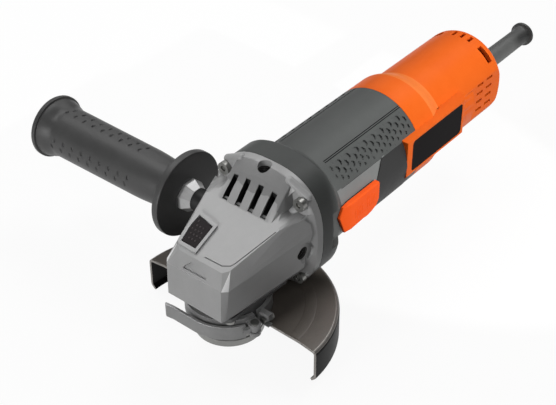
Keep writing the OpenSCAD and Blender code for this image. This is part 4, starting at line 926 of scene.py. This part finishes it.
bmesh.ops.holes_fill(grip, edges=[e for e in grip.edges if e.is_boundary], sides=0)
bmesh.ops.recalc_face_normals(grip, faces=grip.faces)
for vert in grip.verts:
    y = vert.co.y
    if not CARVED_Y[0] < y < CARVED_Y[1]:
        continue
    dx, dz = vert.co.x - HANDLE_AT[0], vert.co.z - HANDLE_AT[2]
    r = math.hypot(dx, dz)
    turn = math.degrees(math.atan2(dz, dx)) % 360
    cut = 0.0
    if SLOT_START - SLOT_MARGIN < y < SLOT_START + SLOT_COUNT * SLOT_PITCH:
        for middle in ROW_TURNS:
            for side in (-1, 1):
                away = (turn - middle - side * ROW_OFFSET + 180) % 360 - 180
                around = math.radians(away) * r / SLOT_HALF[1]
                if abs(around) < 1:
                    shift = ROW_STAGGER * (side > 0)
                    along = ((y - SLOT_START - shift + SLOT_PITCH / 2) % SLOT_PITCH
                             - SLOT_PITCH / 2) / SLOT_HALF[0]
                    room = 1 - along * along - around * around
                    if room > 0:
                        cut = SLOT_DEPTH * room ** SLOT_ROUND
    (hollow_y, hollow_turn), (half_y, half_turn), hollow_depth = HOLLOW
    away = ((turn - hollow_turn + 180) % 360 - 180) / half_turn
    spread = ((y - hollow_y) / half_y) ** 2 + away * away
    cut += hollow_depth * math.exp(-HOLLOW_FALL * spread)
    vert.co.x = HANDLE_AT[0] + dx * (r - cut) / r
    vert.co.z = HANDLE_AT[2] + dz * (r - cut) / r
handle_nylon, tree, shader = finish("handle_grey_nylon", "#474747", 0.0, 0.46,
                                    Specular_IOR_Level=0.4)
skin(tree, shader, 0.35, 0.012, ("#424242", "#4d4d4d"), (0.4, 0.52))
placed(grip, "side_handle_moulding", "handle", [handle_nylon], "side_handle", 32)

# ---- Handle boss ---------------------------------------------------------------------------
# Turned steel: a blackened neck, then a bright zinc cone milled with flats for a spanner.
NECK_R, CONE_R, CONE_Y = 0.0070, 0.0104, (0.0440, 0.0494)
NECK_START, CONE_FOOT_R = 0.0337, 0.00714
SIDES, SIDE_TURN, LAP = 8, math.radians(22.5), 0.0002
blackened_neck, tree, shader = finish("blackened_steel_neck", "#2e2e2e", 0.4, 0.45)
skin(tree, shader, 0.4, 0.005, ("#272727", "#353535"), (0.4, 0.55), 6.0)
satin_cone, tree, shader = finish("satin_zinc_cone", "#b4b4b4", 0.6, 0.36)
skin(tree, shader, 0.4, 0.003, ("#a8a8a8", "#c0c0c0"), (0.3, 0.45), 5.0)
boss = bmesh.new()


def collar(sides, r0, r1, y0, y1, material_index, turn):
    """A short cone or drum round the handle's axis, with as many sides as it is milled to."""
    made = bmesh.ops.create_cone(boss, cap_ends=True, segments=sides, radius1=r0, radius2=r1,
                                 depth=y1 - y0)["verts"]
    bmesh.ops.rotate(boss, verts=made, matrix=Matrix.Rotation(turn, 3, "Z"))
    bmesh.ops.rotate(boss, verts=made, matrix=Matrix.Rotation(-math.pi / 2, 3, "X"))
    bmesh.ops.translate(boss, verts=made, vec=(HANDLE_AT[0], (y0 + y1) / 2, HANDLE_AT[2]))
    for face in set(f for v in made for f in v.link_faces):
        face.material_index = material_index


collar(64, NECK_R, NECK_R, NECK_START, CONE_Y[0] + LAP, 0, 0.0)
collar(SIDES, CONE_FOOT_R, CONE_R, CONE_Y[0], CONE_Y[1], 1, SIDE_TURN)
collar(SIDES, CONE_R, CONE_R, CONE_Y[1], DISC_Y + 0.0006, 1, SIDE_TURN)
eased(boss, 0.0003)
placed(boss, "handle_boss_turned", "handle", [blackened_neck, satin_cone], "handle_boss")

# ---- Motor ---------------------------------------------------------------------------------
# Inside the housings: a stacked-iron armature and field with enamelled copper windings, a
# copper commutator, carbon brushes in brass holders and a moulded fan.
copper, tree, shader = finish("enamelled_copper", "#a5562a", 0.8, 0.38)
skin(tree, shader, 0.6, 0.05, ("#93471f", "#b66435"), (0.3, 0.5), 4.0)
brass, tree, shader = finish("pressed_brass", "#c09a4c", 0.9, 0.36)
skin(tree, shader, 0.4, 0.004, ("#b28c3f", "#cba65a"), (0.3, 0.45), 6.0)
iron, tree, shader = finish("stacked_iron", "#5e6165", 0.8, 0.5)
place, raised = skin(tree, shader, 0.5, 0.01, ("#54575b", "#696c70"), (0.42, 0.6), 6.0)
# The stack's sheets show as lines about 3 mm apart, far coarser than real ones.
STACK_SCALE, STACK_DEPTH = 100.0, 0.00005
sheets = add(tree, "ShaderNodeTexWave", {"Vector": place, "Scale": STACK_SCALE},
             bands_direction="X")
edge = add(tree, "ShaderNodeBump", {"Height": sheets.outputs[0], "Strength": 0.8,
                                    "Distance": STACK_DEPTH, "Normal": raised.outputs[0]})
tree.links.new(edge.outputs[0], shader.inputs["Normal"])
carbon, tree, shader = finish("pressed_carbon", "#262628", 0.1, 0.7)
skin(tree, shader, 0.4, 0.02, ("#202022", "#2e2e30"), (0.6, 0.8), 4.0)
for node, material in (("armature_core", iron), ("field_core", iron),
                       ("armature_windings", copper), ("field_windings", copper),
                       ("commutator", copper), ("brush_holders", brass),
                       ("brush_upper", carbon), ("brush_lower", carbon),
                       ("cooling_fan", black_nylon)):
    coated(node, material)
